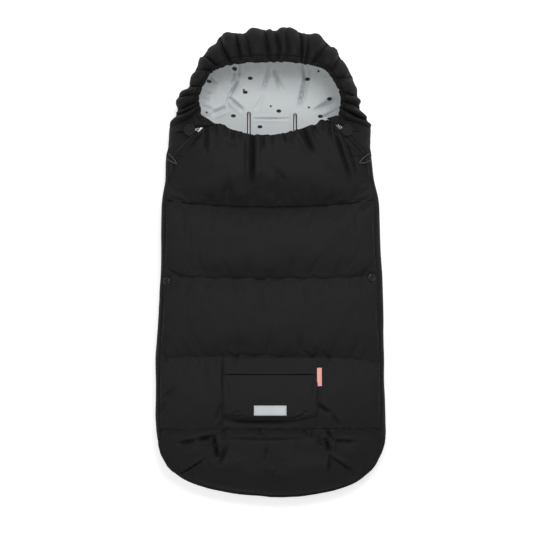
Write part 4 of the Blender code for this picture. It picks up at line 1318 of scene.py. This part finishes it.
@dataclass(frozen=True)
class Hood:
    """The hood: a padded band round the face opening, gathered by its elastic.

    Each row of gathers holds a pixel on the outside, one at the rim, and the fold's depth.
    """

    cloth: float = 0.0022
    lobe: float = 17.0 * MM
    roll: float = 2.2 * MM
    edge_row: float = 0.88
    edge_turn: float = math.radians(165)
    gathers: tuple[tuple[float, ...], ...] = (
        (169.8, 128.0, 196.5, 109.0, 0.55), (179.0, 109.5, 196.0, 103.0, 0.9),
        (178.5, 97.0, 196.5, 95.5, 0.35), (187.5, 86.5, 198.5, 86.0, 0.7),
        (196.5, 67.0, 210.5, 71.5, 0.95), (205.0, 55.0, 218.0, 65.0, 0.95),
        (221.3, 36.5, 230.4, 60.0, 1.0), (236.0, 36.0, 240.5, 60.0, 0.95),
        (244.5, 33.0, 252.8, 61.0, 0.45), (264.5, 35.0, 267.8, 62.0, 0.75),
        (276.5, 33.0, 279.5, 62.0, 1.0), (284.5, 28.0, 287.0, 62.0, 0.40),
        (299.0, 34.0, 300.5, 61.0, 1.0), (304.5, 34.0, 305.5, 61.5, 0.5),
        (326.0, 43.0, 313.0, 62.0, 0.95), (339.0, 57.0, 330.0, 73.0, 0.6),
        (351.5, 75.5, 336.0, 80.0, 0.55), (358.0, 96.0, 339.5, 93.0, 0.4),
        (358.5, 106.0, 340.0, 101.0, 0.9), (367.5, 120.0, 340.5, 107.5, 0.9),
        (370.5, 130.0, 341.5, 115.0, 0.6), (176.0, 116.0, 196.8, 106.0, 0.7),
    )

    def places(self) -> tuple[Array, Array, Array]:
        """Where each gather and both ends meet the outline and the rim, and how deep they are."""
        rows = np.array(self.gathers)
        place = np.linspace(-LINES.last, LINES.last, 4001)
        around = LINES.around(place)
        lines = LINES.outline(around), LINES.rim(around)[:, :2]
        outer, inner = (
            np.array([place[np.argmin(np.linalg.norm(line - photo_place(pixel), axis=1))]
                      for pixel in pixels])
            for line, pixels in zip(lines, (rows[:, :2], rows[:, 2:4]))
        )
        order = np.argsort(outer)
        end = 0.6 * LINES.last
        outer, inner = (np.pad(row, 1, constant_values=(-end, end))
                        for row in (outer[order], np.sort(inner)))
        return outer, inner, np.pad(rows[order, 4], 1, constant_values=0.3)

    def lift(self, q: Array, share: Array) -> Array:
        """How far the cloth stands proud.

        Args:
            q: place round the hood, 0 at its middle and negative on the left.
            share: 0 at the widest line and 1 at the rim.

        Returns:
            The lift in metres.
        """
        outer, inner, strength = self.places()
        made = np.zeros(len(q))
        wander = 0.10 * cloth_noise(q * 1.2, share * 3, 71)
        for k in range(len(outer) - 1):
            low = mix(outer[k], inner[k], share) + wander
            high = mix(outer[k + 1], inner[k + 1], share) + wander
            inside = (q >= low) & (q < high)
            f = np.clip((q - low) / np.maximum(high - low, 1e-6), 0, 1)
            dome = np.maximum(0, 4 * f * (1 - f)) ** 0.70
            deep = mix(strength[k], strength[k + 1], f)
            wide = np.clip((high - low) / 0.7, 0.4, 1.0)
            tilt = 0.45 * math.sin(12.9 * k + 1.0) * (f - 0.5) * dome
            made = np.where(inside, (dome - 1) * deep * wide + (0.42 * dome + tilt) * wide, made)
        body = np.sin(math.pi * np.clip(share, 0, 1) ** 0.8) ** 0.5 * 0.75 + 0.25 * (1 - share)
        gathered = cloth_noise(q * 4.6, share * 2, 72) + 0.7 * cloth_noise(q * 9.5, share * 2, 73)
        near = np.exp(-(1 - share) / 0.13)
        stitched = np.exp(-((share - 0.84) / 0.022) ** 2)
        fine = 0.7 * MM * cloth_noise(q * 5, share * 6, 74)
        return made * self.lobe * body + gathered * near * 2.6 * MM - stitched * 2.2 * MM + fine

    def point(self, q: Array, share: Array) -> Array:
        """A point of the hood's outer face."""
        angle = np.arccos(np.clip(1 - share, -1, 1))
        made = wall_point(LINES.around(q), angle, self.lift(q, share))
        roll = ease((share - 0.70) / 0.30)
        made[:, 2] += 3.5 * MM * np.sin(math.pi * np.clip(share, 0, 1)) - 2.5 * MM * roll ** 1.5
        corner = np.maximum(0, 1 - np.abs(np.abs(q) - 9.85) / 0.55) * np.clip(share, 0, 1) ** 5
        made[:, 0] -= np.where(q < 0, -24, 22) * MM * corner
        made[:, 1] += np.where(q < 0, -2, 8) * MM * corner
        made[:, 2] += 6 * MM * np.minimum(1, 3 * corner)
        return made

    def build(self) -> None:
        """The hood's outer cloth with its casing."""
        bm, places = grid_mesh(520, 64)
        reach = LINES.last - LINES.neck + 0.45
        q = (2 * places[:, 0] - 1) * reach
        share = 1 - (1 - np.minimum(places[:, 1] / self.edge_row, 1)) ** 1.15
        turn = np.maximum(places[:, 1] - self.edge_row, 0) / (1 - self.edge_row) * self.edge_turn
        points = self.point(q, share)
        t = LINES.around(q)
        way = unit_rows(LINES.rim(t)[:, :2] - LINES.outline(t))
        ruffle = 1.5 * MM * cloth_noise(q * 4.6, q * 0, 75) * np.exp(-(1 - share) / 0.10)
        points[:, :2] += way * (self.roll * np.sin(turn) + ruffle)[:, None]
        points[:, 2] -= self.roll * (1 - np.cos(turn))
        put(bm, points)
        lay_uv(bm, np.column_stack((q * 0.026, share * 0.06 + turn * self.roll)))
        face_up(bm)
        piece = add_piece("hood_shell", bm, (HOOD,), (
            "hood_outer", "hood_wadding", "hood_elastic",
        ))
        thicken(piece, self.cloth)
        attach(piece, "back")


@dataclass(frozen=True)
class Lining:
    """The pale lining: one tub from the rim and the zips down to the floor."""

    floor: float = 0.0190
    rim_drop: float = 0.013
    cloth: float = 0.0010
    cut_size: tuple[float, float] = (0.55, 1.00)
    side_ends: tuple[float, float] = (4.6, LINES.last - 6.0)
    body_wall: float = 0.024
    hood_wall: float = 0.036
    folds: tuple[Fold, ...] = fold_rows(FoldKind.CREASE, (
        (241, 62, 238, 80, 3, 12), (238, 78, 228.5, 95, 3, 15), (229, 93, 226, 107, 3.5, 7),
        (237, 64, 230, 87, 2.4, 9), (271, 64, 261, 92, 3.4, 10), (273, 64, 283, 90, 3.8, 12),
        (303, 62, 306, 83, 2.8, 14), (305, 78, 298, 111, 2.8, 12), (334, 97, 312, 111, 3.4, 11),
        (325, 72, 336, 83, 3.6, 8), (338, 108, 318, 119.5, 3.4, 8), (208, 76, 219, 85, 3, 8),
        (230, 97, 245, 111, 3.4, 10), (212, 112, 230, 104, 3.8, 7), (198, 103, 215, 110, 3.8, 7),
        (200, 90, 213, 93, 3.4, 6), (249, 117, 295.5, 117, 2, 4), (262, 96, 255, 110, 4, 4),
    )) + fold_rows(FoldKind.SOFT, (
        (242, 65, 263, 68, 5, 6), (286, 63, 300, 66, 5, 5), (212, 72, 220, 68, 5, 5),
        (322, 70, 312, 66, 5, 5),
    )) + fold_rows(FoldKind.RIDGE, (
        (244, 66, 232, 92, 4, 3), (308, 70, 302, 104, 4, 4), (279, 70, 270, 92, 6, 3),
    ))

    def boundary(self, t: Array) -> Array:
        """The tub's edge at places along the outline, a little outside what shows."""
        outline, rim = LINES.outline(t), LINES.rim(t)
        way = unit_rows(outline - rim[:, :2])
        hood = ease((np.abs(t) - LINES.neck + 0.5) / 1.0)
        foot = 1 - ease((np.abs(t) - 7.4) / 0.8)
        out = mix(-0.5 * MM, 5.0 * MM, hood)
        plan = rim[:, :2] + way * out[:, None]
        plan = mix(plan, outline - way * 0.020, foot[:, None])
        height = rim[:, 2] - mix(5.5 * MM, self.rim_drop, hood)
        return np.column_stack((plan, mix(height, LINES.edge_height, foot)))

    def plan(self, u: Array, v: Array) -> Array:
        """A patch between the tub's four edges, seen from above."""
        low, high = self.side_ends
        flip = np.array((-1.0, 1.0))
        right = self.boundary(mix(low, high, v))[:, :2]
        left = right * flip
        way = 2 * u - 1
        turned = np.where((way < 0)[:, None], flip, 1.0)
        bottom = self.boundary(np.abs(way) * low)[:, :2] * turned
        top = self.boundary(LINES.last - np.abs(way) * (LINES.last - high))[:, :2] * turned
        first, last = self.boundary(np.array((low, high)))[:, :2]
        u, v = u[:, None], v[:, None]
        corners = (1 - u) * (1 - v) * first * flip + u * (1 - v) * first
        corners = corners + (1 - u) * v * last * flip + u * v * last
        return (1 - v) * bottom + v * top + (1 - u) * left + u * right - corners

    def height(self, plan: Array) -> Array:
        """The lining's height at places on the floor plan."""
        place = np.linspace(-LINES.last, LINES.last, 600)
        edge = self.boundary(place)
        edge[:, 0] = np.abs(edge[:, 0]) * np.where(place < 0, -1, 1)
        away = np.full(len(plan), 1e9)
        nearest = np.zeros(len(plan), int)
        for number, point in enumerate(edge):
            distance = np.hypot(plan[:, 0] - point[0], plan[:, 1] - point[1])
            closer = distance < away
            away = np.where(closer, distance, away)
            nearest = np.where(closer, number, nearest)
        hood = ease((plan[:, 1] - 0.24) / 0.05)
        wall = np.clip(1 - away / mix(self.body_wall, self.hood_wall, hood), 0, 1)
        bowl = mix(wall ** 2.0, wall ** 2.4, hood)
        around = place[nearest]
        radial = cloth_noise(around * 3.2, away / 0.05, 81) + 0.5 * cloth_noise(around * 7, away / 0.03, 82)
        made = mix(self.floor, edge[nearest, 2], bowl)
        made = made + 4.0 * MM * radial * bowl * (1 - bowl) * 4 * hood
        slow = cloth_noise(plan[:, 0] / 0.035, plan[:, 1] / 0.035, 83)
        return made + 0.8 * MM * slow + folded(self.folds, plan)

    def build(self) -> None:
        """The lining tub, with the harness slots cut through it."""
        bm, places = grid_mesh(200, 300)
        v = np.interp(places[:, 1], (0, 0.35, 1), (0, 0.58, 1))
        plan = self.plan(places[:, 0], v)
        put(bm, np.column_stack((plan, self.height(plan))))
        lay_uv(bm, plan)
        face_up(bm)
        piece = add_piece("lining_tub", bm, (LINING,), (
            "back_lining", "hood_lining", "side_panel_lining_left", "side_panel_lining_right",
        ))
        thicken(piece, self.cloth)
        for slot in BACK.slots:
            BACK.cut(piece, slot)
        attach(piece, "back")


BACK = Back()
HOOD_FORM = Hood()
TUB = Lining()


@dataclass(frozen=True)
class Pocket:
    """The patch pocket on the shin, with its welt, bare patch and side tab."""

    half: float = 0.0945
    low: float = -0.3135
    slit: float = -0.2235
    top: float = -0.1885
    puff: float = 7.5 * MM
    smile: float = 9.0 * MM
    patch_corners: Pairs = ((254.0, 415.2), (286.4, 405.3))
    tab_corners: Pairs = ((317.1, 386.0), (321.8, 367.9))
    folds: tuple[Fold, ...] = fold_rows(FoldKind.CREASE, (
        (231.5, 416.5, 236, 411, 2.4, 4.5), (236, 411, 241, 412.5, 2.2, 2.5),
        (233, 417.5, 246, 415, 2.4, 3), (294, 419, 308, 412, 2.4, 4.5), (303, 411, 309, 413, 2.2, 3),
    )) + fold_rows(FoldKind.SOFT, (
        (226, 378, 228.5, 402, 4, 2.4), (314.5, 378, 312, 402, 4, 2.4),
    ))

    def sheet(self, name: str, low: float, high: float, size: tuple[int, int],
              rise: Callable[[Array, Array], Array], cover: BVHTree,
              replaced: tuple[str, ...]) -> Piece:
        """A piece of cloth on the cover.

        Args:
            name: its name.
            low: its lower edge.
            high: its upper edge.
            size: columns and rows.
            rise: a function of u and v that gives how far it stands off.
            cover: the surface below.
            replaced: the nodes that it stands for.

        Returns:
            The piece.
        """
        bm, places = grid_mesh(*size)
        u, v = 2 * places[:, 0] - 1, places[:, 1]
        if low == self.low:
            bend = self.smile * np.abs(u) ** 3
        else:
            bend = -1.3 * MM * np.abs(u) ** 8 - 0.8 * MM * (1 - u * u)
        plan = np.column_stack((u * self.half, mix(low, high, v) + bend * (1 - v) ** 2))
        below = landed([cover], plan)
        level = below[:, 2].reshape(size[1] + 1, size[0] + 1)
        for _ in range(12):
            padded = np.pad(level, 1, mode="edge")
            level = (padded[:-2, 1:-1] + padded[2:, 1:-1] + padded[1:-1, :-2] + padded[1:-1, 2:]) / 4
        rim = np.minimum(ease((1 - np.abs(u)) / 0.05), ease(np.minimum(v, 1 - v) / 0.06))
        base = np.maximum(mix(below[:, 2], level.reshape(-1), rim), below[:, 2] - 0.5 * MM)
        height = base + 0.8 * MM + rise(u, v) + folded(self.folds, plan) * rim
        closed_body(bm, np.column_stack((plan, height)), below - (0, 0, 1.2 * MM), plan)
        piece = add_piece(name, bm, (SHELL,), replaced)
        FRONT.on_cover(piece)
        return piece

    def bag(self, u: Array, v: Array) -> Array:
        """How far the bag of the pocket stands off the cover."""
        side = np.maximum(0, 1 - np.abs(u) ** 9) ** 0.5
        foot = np.minimum(1, v / 0.10) ** 0.5
        drop = mix(1.0, 0.50, v)
        wrinkle = 0.8 * MM * cloth_noise(u * 5, v * 3, 91)
        return (self.puff * drop + wrinkle) * side * foot + 0.4 * MM

    def welt(self, u: Array, v: Array) -> Array:
        """How far the cloth over the slit stands off the cover."""
        side = np.maximum(0, 1 - np.abs(u) ** 9) ** 0.5
        wrinkle = 0.7 * MM * cloth_noise(u * 7, v * 2, 92) * np.sin(math.pi * v)
        return ((1 - v) ** 0.7 * 4.4 * MM * np.minimum(1, v / 0.05 + 0.35) + wrinkle) * side + 0.3 * MM

    def patch(self, trees: list[BVHTree]) -> None:
        """The bare pale patch."""
        bm, places = grid_mesh(36, 14)
        low, high = (photo_place(pixel) for pixel in self.patch_corners)
        plan = mix(low, high, places)
        edge = np.minimum(np.minimum(places[:, 0], 1 - places[:, 0]) * 3.1,
                          np.minimum(places[:, 1], 1 - places[:, 1]))
        upper = landed(trees, plan, 0.7 * MM)
        upper[:, 2] += 0.5 * MM * np.minimum(1, edge / 0.08)
        closed_body(bm, upper, upper - (0, 0, 1.6 * MM), plan)
        piece = add_piece("bare_patch", bm, (PATCH,), ("pocket_patch",))
        FRONT.on_cover(piece)
        inset = 1.6 * MM
        ring = mix(low + inset, high - inset, np.array(((0, 0), (1, 0), (1, 1), (0, 1), (0, 0))))
        lines = [landed(trees, np.linspace(a, b, 24), 1.5 * MM) for a, b in zip(ring, ring[1:])]
        sewn = Stitching(2.6 * MM, 1.9 * MM, 0.25 * MM).sew("patch_stitches", lines, PALE_THREAD)
        FRONT.on_cover(sewn)

    def tab(self, trees: list[BVHTree]) -> None:
        """The folded coral ribbon sewn in beside the pocket."""
        bm, places = grid_mesh(8, 30)
        low, high = (photo_place(pixel) for pixel in self.tab_corners)
        plan = mix(low, high, places)
        upper = landed(trees, plan)
        upper[:, 2] = upper[:, 2].mean() * 0.5 + upper[:, 2] * 0.5 + 2.6 * MM
        upper[:, 2] += 1.1 * MM * np.sin(math.pi * places[:, 0])
        closed_body(bm, upper, upper - (0, 0, 1.8 * MM), plan)
        piece = add_piece("ribbon_tab", bm, (CORAL,), ("side_tab",))
        FRONT.on_cover(piece)

    def build(self, cover: BVHTree) -> None:
        """The pocket with all that is on it."""
        bag = self.sheet("pocket_bag", self.low, self.slit, (96, 52), self.bag, cover, ("pocket_panel",))
        welt = self.sheet("pocket_top", self.slit + 1.4 * MM, self.top, (96, 22), self.welt, cover,
                          ("pocket_welt",))
        trees = [cover, surface_of(bag)]
        self.patch(trees)
        trees.append(surface_of(welt))
        self.tab(trees)
        inner = self.half - 2.5 * MM
        seams = [((x, self.low + 3 * MM), (x, self.top), 40) for x in (-inner, inner)]
        seams += [((-inner, y), (inner, y), 60) for y in (self.low + 2.5 * MM, self.slit + 6 * MM)]
        lines = [landed(trees, np.linspace(*seam), 0.1 * MM) for seam in seams]
        FRONT.on_cover(Stitching().sew("pocket_stitches", lines, THREAD))


@dataclass(frozen=True)
class Zips:
    """The two zips, from the foot seam up to the neck corners.

    The reaches are a tape's two edges and its teeth's middle, from the middle of the slot.
    """

    inner_reaches: Triple = (0.5 * MM, 7.5 * MM, 0.45 * MM)
    outer_reaches: Triple = (-0.5 * MM, -6.5 * MM, -0.45 * MM)
    pitch: float = 2.5 * MM
    tooth: Triple = (1.05 * MM, 2.7 * MM, 1.7 * MM)
    tape_thickness: float = 0.6 * MM
    tape_slope: float = 1.2 * MM

    def line(self, offset: float) -> Array:
        """The zip's line on the right, at an offset inward from the side panel's edge."""
        made = LINES.zip_line(offset)
        made[:, 2] -= 1.6 * MM
        return made[made[:, 1] > FRONT.foot_seam + 8 * MM]

    def half(self, side: Side, name: str, node: str, low: float, high: float, inner: bool) -> Piece:
        """Tape and teeth of one half, between two values of y."""
        near, far, centre = (self.line(LINES.zip_slot / 2 + reach)
                             for reach in (self.inner_reaches if inner else self.outer_reaches))
        bm, places = grid_mesh(119, 3)
        edges = []
        for line in (near, far):
            kept = line[(line[:, 1] >= low) & (line[:, 1] <= high)]
            where = np.linspace(0, 1, len(kept))
            edges.append(np.column_stack([np.interp(places[:, 0], where, kept[:, axis])
                                          for axis in range(3)]))
        tape = mix(*edges, places[:, 1:])
        tape[:, 2] -= self.tape_slope * places[:, 1]
        mirror = (side.value, 1, 1)
        put(bm, tape * mirror)
        bmesh.ops.solidify(bm, geom=bm.faces[:], thickness=self.tape_thickness)
        face_out(bm)
        where = np.arange(self.pitch * (0.5 if inner else 1.0), walked(centre)[-1], self.pitch)
        for spot, ahead in zip(on_line(centre, where), on_line(centre, where + 0.2 * MM)):
            if not low <= spot[1] <= high:
                continue
            along = Vector((ahead - spot) * mirror).normalized()
            across = Vector((0, 0, 1)).cross(along).normalized()
            turn = Matrix((along, across, along.cross(across))).transposed().to_4x4()
            made = bmesh.ops.create_cube(bm, size=1)["verts"]
            bmesh.ops.scale(bm, vec=self.tooth, verts=made)
            tops = [vert for vert in made if vert.co.z > 0]
            bmesh.ops.scale(bm, vec=(0.6, 0.75, 1), verts=tops)
            place = Matrix.Translation(Vector(spot * mirror) + Vector((0, 0, 0.4 * MM)))
            bmesh.ops.transform(bm, matrix=place @ turn, verts=made)
            for face in {face for vert in made for face in vert.link_faces}:
                face.material_index = 1
        lay_uv(bm, np.array([(vert.co.x, vert.co.y) for vert in bm.verts]))
        return add_piece(name, bm, (TAPE, COIL), (node,))

    def build(self) -> None:
        """Both zips in their halves."""
        top, seam, foot = 1.0, FRONT.chest_seam, -1.0
        for side in Side:
            word = side.word
            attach(self.half(side, f"zip_outer_{word}", f"zip_back_{word}", foot, top, False), "back")
            FRONT.on_cover(self.half(side, f"zip_inner_{word}", f"zip_cover_{word}", foot, seam, True))
            FRONT.on_flap(self.half(side, f"zip_upper_{word}", f"zip_flap_{word}", seam, top, True))
            self.stop(side)

    def stop(self, side: Side) -> None:
        """The crimped stop at the foot of a zip."""
        bm = bmesh.new()
        low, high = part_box(f"zip_bottom_stop_{side.word}")
        size, middle = high - low, (low + high) / 2
        block(bm, (size.x * 0.8, size.y, size.z), middle, 0.7 * MM)
        for reach in (-1.1 * MM, 1.1 * MM):
            block(bm, (size.x * 0.86, 0.5 * MM, size.z * 1.1), middle + Vector((0, reach, 0)), 0.2 * MM, 2)
        piece = add_piece(f"zip_stop_{side.word}", bm, (DARK_NICKEL,),
                          (f"zip_bottom_stop_{side.word}",))
        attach(piece, "back")


@dataclass(frozen=True)
class Slider:
    """A zip slider with its rubber pull, on one side."""

    side: Side
    seat: Triple = (0.1396, 0.2658, 0.0938)
    hang: Triple = (0.1413, 0.2641, 0.0985)
    disc: Triple = (0.1591, 0.2629, 0.0936)
    along: Triple = (0.5960, -0.7170, -0.3610)
    up: Triple = (0.2550, -0.2570, 0.9320)
    length: float = 14.0 * MM
    width: float = 8.4 * MM
    disc_radius: float = 12.0 * MM
    disc_profile: Pairs = (
        (0, 1.35), (0.52, 1.35), (0.58, 1.1), (0.64, 1.1), (0.70, 1.75), (0.90, 1.75), (0.97, 1.3),
        (1.0, 0.5), (1.0, -0.5), (0.97, -1.2), (0.90, -1.6), (0, -1.6),
    )
    body_nudge: Triple = (-3.0 * MM, 5.0 * MM, 1.0 * MM)
    disc_nudge: Triple = (-6.5 * MM, 0.0, 0.0)

    def sided(self, point: Triple, nudge: Triple = (0.0, 0.0, 0.0)) -> Vector:
        """A point or direction on this side; the right slider lies a little off the left's mirror image."""
        made = Vector((point[0] * self.side.value, point[1], point[2]))
        return made + Vector(nudge) if self.side is Side.RIGHT else made

    def body(self) -> None:
        """The slider: two plates, a post and a bridge."""
        bm = bmesh.new()
        for level, thick in ((1.9 * MM, 1.5 * MM), (-3.0 * MM, 1.3 * MM)):
            made = block(bm, (self.length, self.width, thick), (0, 0, level), 0.65 * MM)
            for vert in made:
                vert.co.y *= 0.74 + 0.26 * ease(0.5 - vert.co.x / self.length)
        block(bm, (2.6 * MM, 1.5 * MM, 5.0 * MM), (-4.6 * MM, 0, -0.5 * MM), 0.3 * MM, 2)
        arch = np.array([(-4.6 * math.cos(a), 0, 2.2 + 2.9 * math.sin(a) ** 0.7)
                         for a in np.linspace(0, math.pi, 15)]) * MM
        tube(bm, arch, 0.85 * MM)
        face_out(bm)
        place_in(bm, self.sided(self.seat, self.body_nudge), self.sided(self.along),
                 self.sided(self.up).normalized())
        word = self.side.word
        piece = add_piece(f"slider_{word}", bm, (NICKEL,), (f"zip_slider_{word}",))
        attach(piece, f"slider_{word}")

    def pull(self, trees: list[BVHTree]) -> None:
        """The pull: a wire link and a moulded rubber disc that lies on the cloth."""
        bm = bmesh.new()
        root, end = self.sided(self.hang, self.body_nudge), self.sided(self.disc, self.disc_nudge)
        radius = self.disc_radius
        up = self.sided(self.up).normalized()
        around = [(radius * r * math.cos(a), radius * r * math.sin(a))
                  for r in (0.3, 0.6, 0.9) for a in np.linspace(0, 2 * math.pi, 12)]
        below = landed(trees, np.array([(end.x + x, end.y + y) for x, y in around]))
        levels = [end.z - (up.x * x + up.y * y) / up.z for x, y in around]
        end.z += max(0.0, max(below[:, 2] - levels) + 1.9 * MM)
        reach = (end - root).length
        revolve(bm, radius, self.disc_profile)
        neck = block(bm, (6.5 * MM, 6.0 * MM, 2.8 * MM), (-radius - 0.5 * MM, 0, 0), 0.9 * MM)
        for vert in neck:
            vert.co.y *= 1 + 0.35 * (vert.co.x + radius) / (4 * MM)
        count = len(bm.faces)
        link = np.array([(-reach + 1.0 * MM + (2.9 * math.cos(a) + 1.9) * MM, 2.3 * MM * math.sin(a), 0.0)
                         for a in np.linspace(0, 2 * math.pi, 28, endpoint=False)])
        tube(bm, link, 0.6 * MM, 8, closed=True)
        bm.faces.ensure_lookup_table()
        for face in bm.faces[count:]:
            face.material_index = 1
        face_out(bm)
        place_in(bm, end, end - root, up)
        word = self.side.word
        piece = add_piece(f"pull_{word}", bm, (RUBBER, NICKEL), (f"zip_pull_{word}",))
        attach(piece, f"pull_{word}")

    def build(self, trees: list[BVHTree]) -> None:
        """The slider and its pull."""
        self.body()
        self.pull(trees)


@dataclass(frozen=True)
class Snap:
    """A press stud set through the edge of the cover."""

    name: str
    node: str
    side: Side
    pixel: tuple[float, float]
    radius: float
    profile: Pairs
    finishes: tuple[Finish, Finish]

    def build(self, cover: BVHTree) -> None:
        """The stud as one turned piece, square to the cover's edge."""
        bm = bmesh.new()
        revolve(bm, self.radius, self.profile)
        for face in bm.faces:
            middle = face.calc_center_median()
            face.material_index = int(math.hypot(middle.x, middle.y) > self.profile[3][0] * self.radius)
        spot = photo_place(self.pixel, 0.07)
        up = Vector((0.40 * self.side.value, 0, 0.917))
        inward = (0.0, -0.3, -0.6)
        levels = landed([cover], np.array([(spot[0] * (1 + step * self.radius / 0.2), spot[1])
                                           for step in inward]))[:, 2]
        place_in(bm, Vector((spot[0], spot[1], max(levels) + 1.0 * MM)), Vector((0, 1, 0)), up)
        piece = add_piece(self.name, bm, self.finishes, (self.node,))
        FRONT.on_cover(piece)


@dataclass(frozen=True)
class CordLoop:
    """A short loop of cord sewn into the shoulder seam."""

    side: Side
    pixels: Pairs
    radius: float = 1.15 * MM

    def build(self, trees: list[BVHTree]) -> None:
        """The loop, lying on the shoulder."""
        knots = np.array([photo_place(pixel, 0.07) for pixel in self.pixels])
        plan = spline(knots, np.linspace(0, len(knots) - 1, 34))
        path = landed(trees, plan, self.radius + 0.8 * MM)
        heights = path[:, 2]
        for _ in range(60):
            heights[1:-1] = np.maximum(heights[1:-1], (heights[:-2] + heights[2:]) / 2)
        bm = bmesh.new()
        tube(bm, path, self.radius)
        lay_uv(bm, np.array([(vert.co.y, vert.co.x) for vert in bm.verts]))
        face_out(bm)
        word = self.side.word
        piece = add_piece(f"loop_{word}", bm, (CORD,), (f"cord_loop_{word}",))
        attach(piece, "back")


STUDS = (
    # The left stud's dark lacquered outer ring reaches past its cap to 8 mm, so that it also stands in for
    # the shade in the cloth round the stud: partly painted shade.
    Snap("stud_cap_left", "snap_cap_left", Side.LEFT, (166.8, 281.2), 8.0 * MM, (
        (0, 2.0), (0.34, 1.9), (0.50, 1.6), (0.56, 1.1), (0.62, 0.9), (0.72, 1.5), (0.90, 1.4),
        (1.0, 0.7), (1.0, -0.6), (0, -0.6)), (RUBBER, DARK_NICKEL)),
    Snap("stud_socket_right", "snap_socket_right", Side.RIGHT, (371.8, 277.6), 8.2 * MM, (
        (0, -0.5), (0.34, -0.5), (0.38, 0.5), (0.44, 0.9), (0.66, 1.0), (0.74, 0.5), (0.80, 0.5),
        (0.86, 1.1), (0.95, 0.9), (1.0, 0.4), (1.0, -0.8), (0, -0.8)), (DARK_NICKEL, DARK_NICKEL)),
)
LOOPS = (
    CordLoop(Side.LEFT, (
        (168.8, 153.6), (172.5, 157.6), (176.4, 163.6), (172.6, 162.2), (167.6, 159.4))),
    CordLoop(Side.RIGHT, (
        (370.4, 153.0), (364.6, 157.0), (359.6, 162.6), (364.6, 162.8), (371.0, 160.4))),
)


# The set


@dataclass(frozen=True)
class Studio:
    """Floor, lamps and camera."""

    floor_size: float = 30.0
    floor_drop: float = 0.3 * MM
    floor_glow: float = 0.55
    surround: float = 0.35
    lamps: tuple[tuple[str, Triple, float, float], ...] = (
        ("key_lamp", (0.42, 1.3, 2.3), 1.5, 40), ("fill_lamp", (-1.2, -0.9, 2.4), 1.6, 12),
    )

    def put_up(self, data: bpy.types.ID, place: Triple) -> Piece:
        """A camera or a lamp at a place."""
        made = bpy.data.objects.new(data.name, data)
        made.location = place
        bpy.context.scene.collection.objects.link(made)
        return made

    def camera(self) -> None:
        """A long lens straight above, framed as the photograph is."""
        data = bpy.data.cameras.new("camera")
        data.lens = LENS
        data.sensor_width = SENSOR
        middle = photo_place((PHOTO_SIZE / 2, PHOTO_SIZE / 2))
        bpy.context.scene.camera = self.put_up(data, (*middle, FOCUS_HEIGHT + CAMERA_DISTANCE))

    def lamp(self, name: str, place: Triple, size: float, power: float) -> None:
        """A square soft lamp that faces the footmuff."""
        data = bpy.data.lights.new(name, "AREA")
        data.energy = power
        data.size = size
        made = self.put_up(data, place)
        made.rotation_euler = (-Vector(place)).to_track_quat("-Z", "Y").to_euler()

    def floor(self) -> None:
        """A white floor that keeps the shadow."""
        bm = bmesh.new()
        bmesh.ops.create_grid(bm, x_segments=1, y_segments=1, size=self.floor_size / 2)
        bmesh.ops.translate(bm, vec=(0, 0, -self.floor_drop), verts=bm.verts[:])
        floor = new_object("floor", bm)
        material = bpy.data.materials.new("floor_paper")
        material.use_nodes = True
        tree = material.node_tree
        rays = add_node(tree, "LightPath", {})
        seen = add_node(tree, "Math", {0: rays.outputs["Is Camera Ray"], 1: self.floor_glow})
        seen.operation = "MULTIPLY"
        feed(tree, tree.nodes["Principled BSDF"], {
            "Base Color": (0.85, 0.85, 0.85, 1.0), "Roughness": 1.0,
            "Emission Color": (1, 1, 1, 1), "Emission Strength": seen.outputs[0],
        })
        floor.data.materials.append(material)

    def world(self) -> None:
        """An even pale surround that looks white."""
        world = bpy.data.worlds.new("surround")
        bpy.context.scene.world = world
        world.use_nodes = True
        tree = world.node_tree
        rays = add_node(tree, "LightPath", {})
        seen = add_node(tree, "MapRange", {
            "Value": rays.outputs["Is Camera Ray"], "To Min": self.surround, "To Max": 1.0,
        })
        feed(tree, tree.nodes["Background"], {
            "Color": (1, 1, 1, 1), "Strength": seen.outputs["Result"],
        })

    def build(self) -> None:
        """All of the set."""
        self.camera()
        for lamp in self.lamps:
            self.lamp(*lamp)
        self.floor()
        self.world()
        bpy.context.scene.view_settings.view_transform = "Standard"


def dress_nodes() -> None:
    """Give every node that still shows its finish."""
    finishes = {
        "shell_fabric": SHELL, "hood_fabric": HOOD, "lining_fabric": PLAIN_LINING,
        "wadding": PLAIN_LINING, "elastic": CORD, "trim": TRIM, "patch": PATCH, "coral_tab": CORAL,
        "zip_tape": TAPE, "metal": NICKEL, "dark_metal": DARK_NICKEL, "rubber": RUBBER,
    }
    slots = {part["node"]: part["material_slot"] for part in frame["record"]["subparts"]}
    for name, node in frame["nodes"].items():
        node.data.materials.clear()
        node.data.materials.append(finishes[slots[name]].material())


def main() -> None:
    """Build the footmuff and its set."""
    logging.basicConfig(level=logging.INFO, format="%(name)s: %(message)s")
    Studio().build()
    dress_nodes()
    BACK.build()
    HOOD_FORM.build()
    TUB.build()
    cover, flap = FRONT.build()
    FootBox().build()
    Pocket().build(cover)
    Zips().build()
    for stud in STUDS:
        stud.build(cover)
    names = ("hood_shell", "side_panel_left", "side_panel_right")
    trees = [cover, flap, *(surface_of(bpy.data.objects[name]) for name in names)]
    for side in Side:
        Slider(side).build(trees)
    for loop in LOOPS:
        loop.build(trees)


if __name__ == "__main__":
    main()
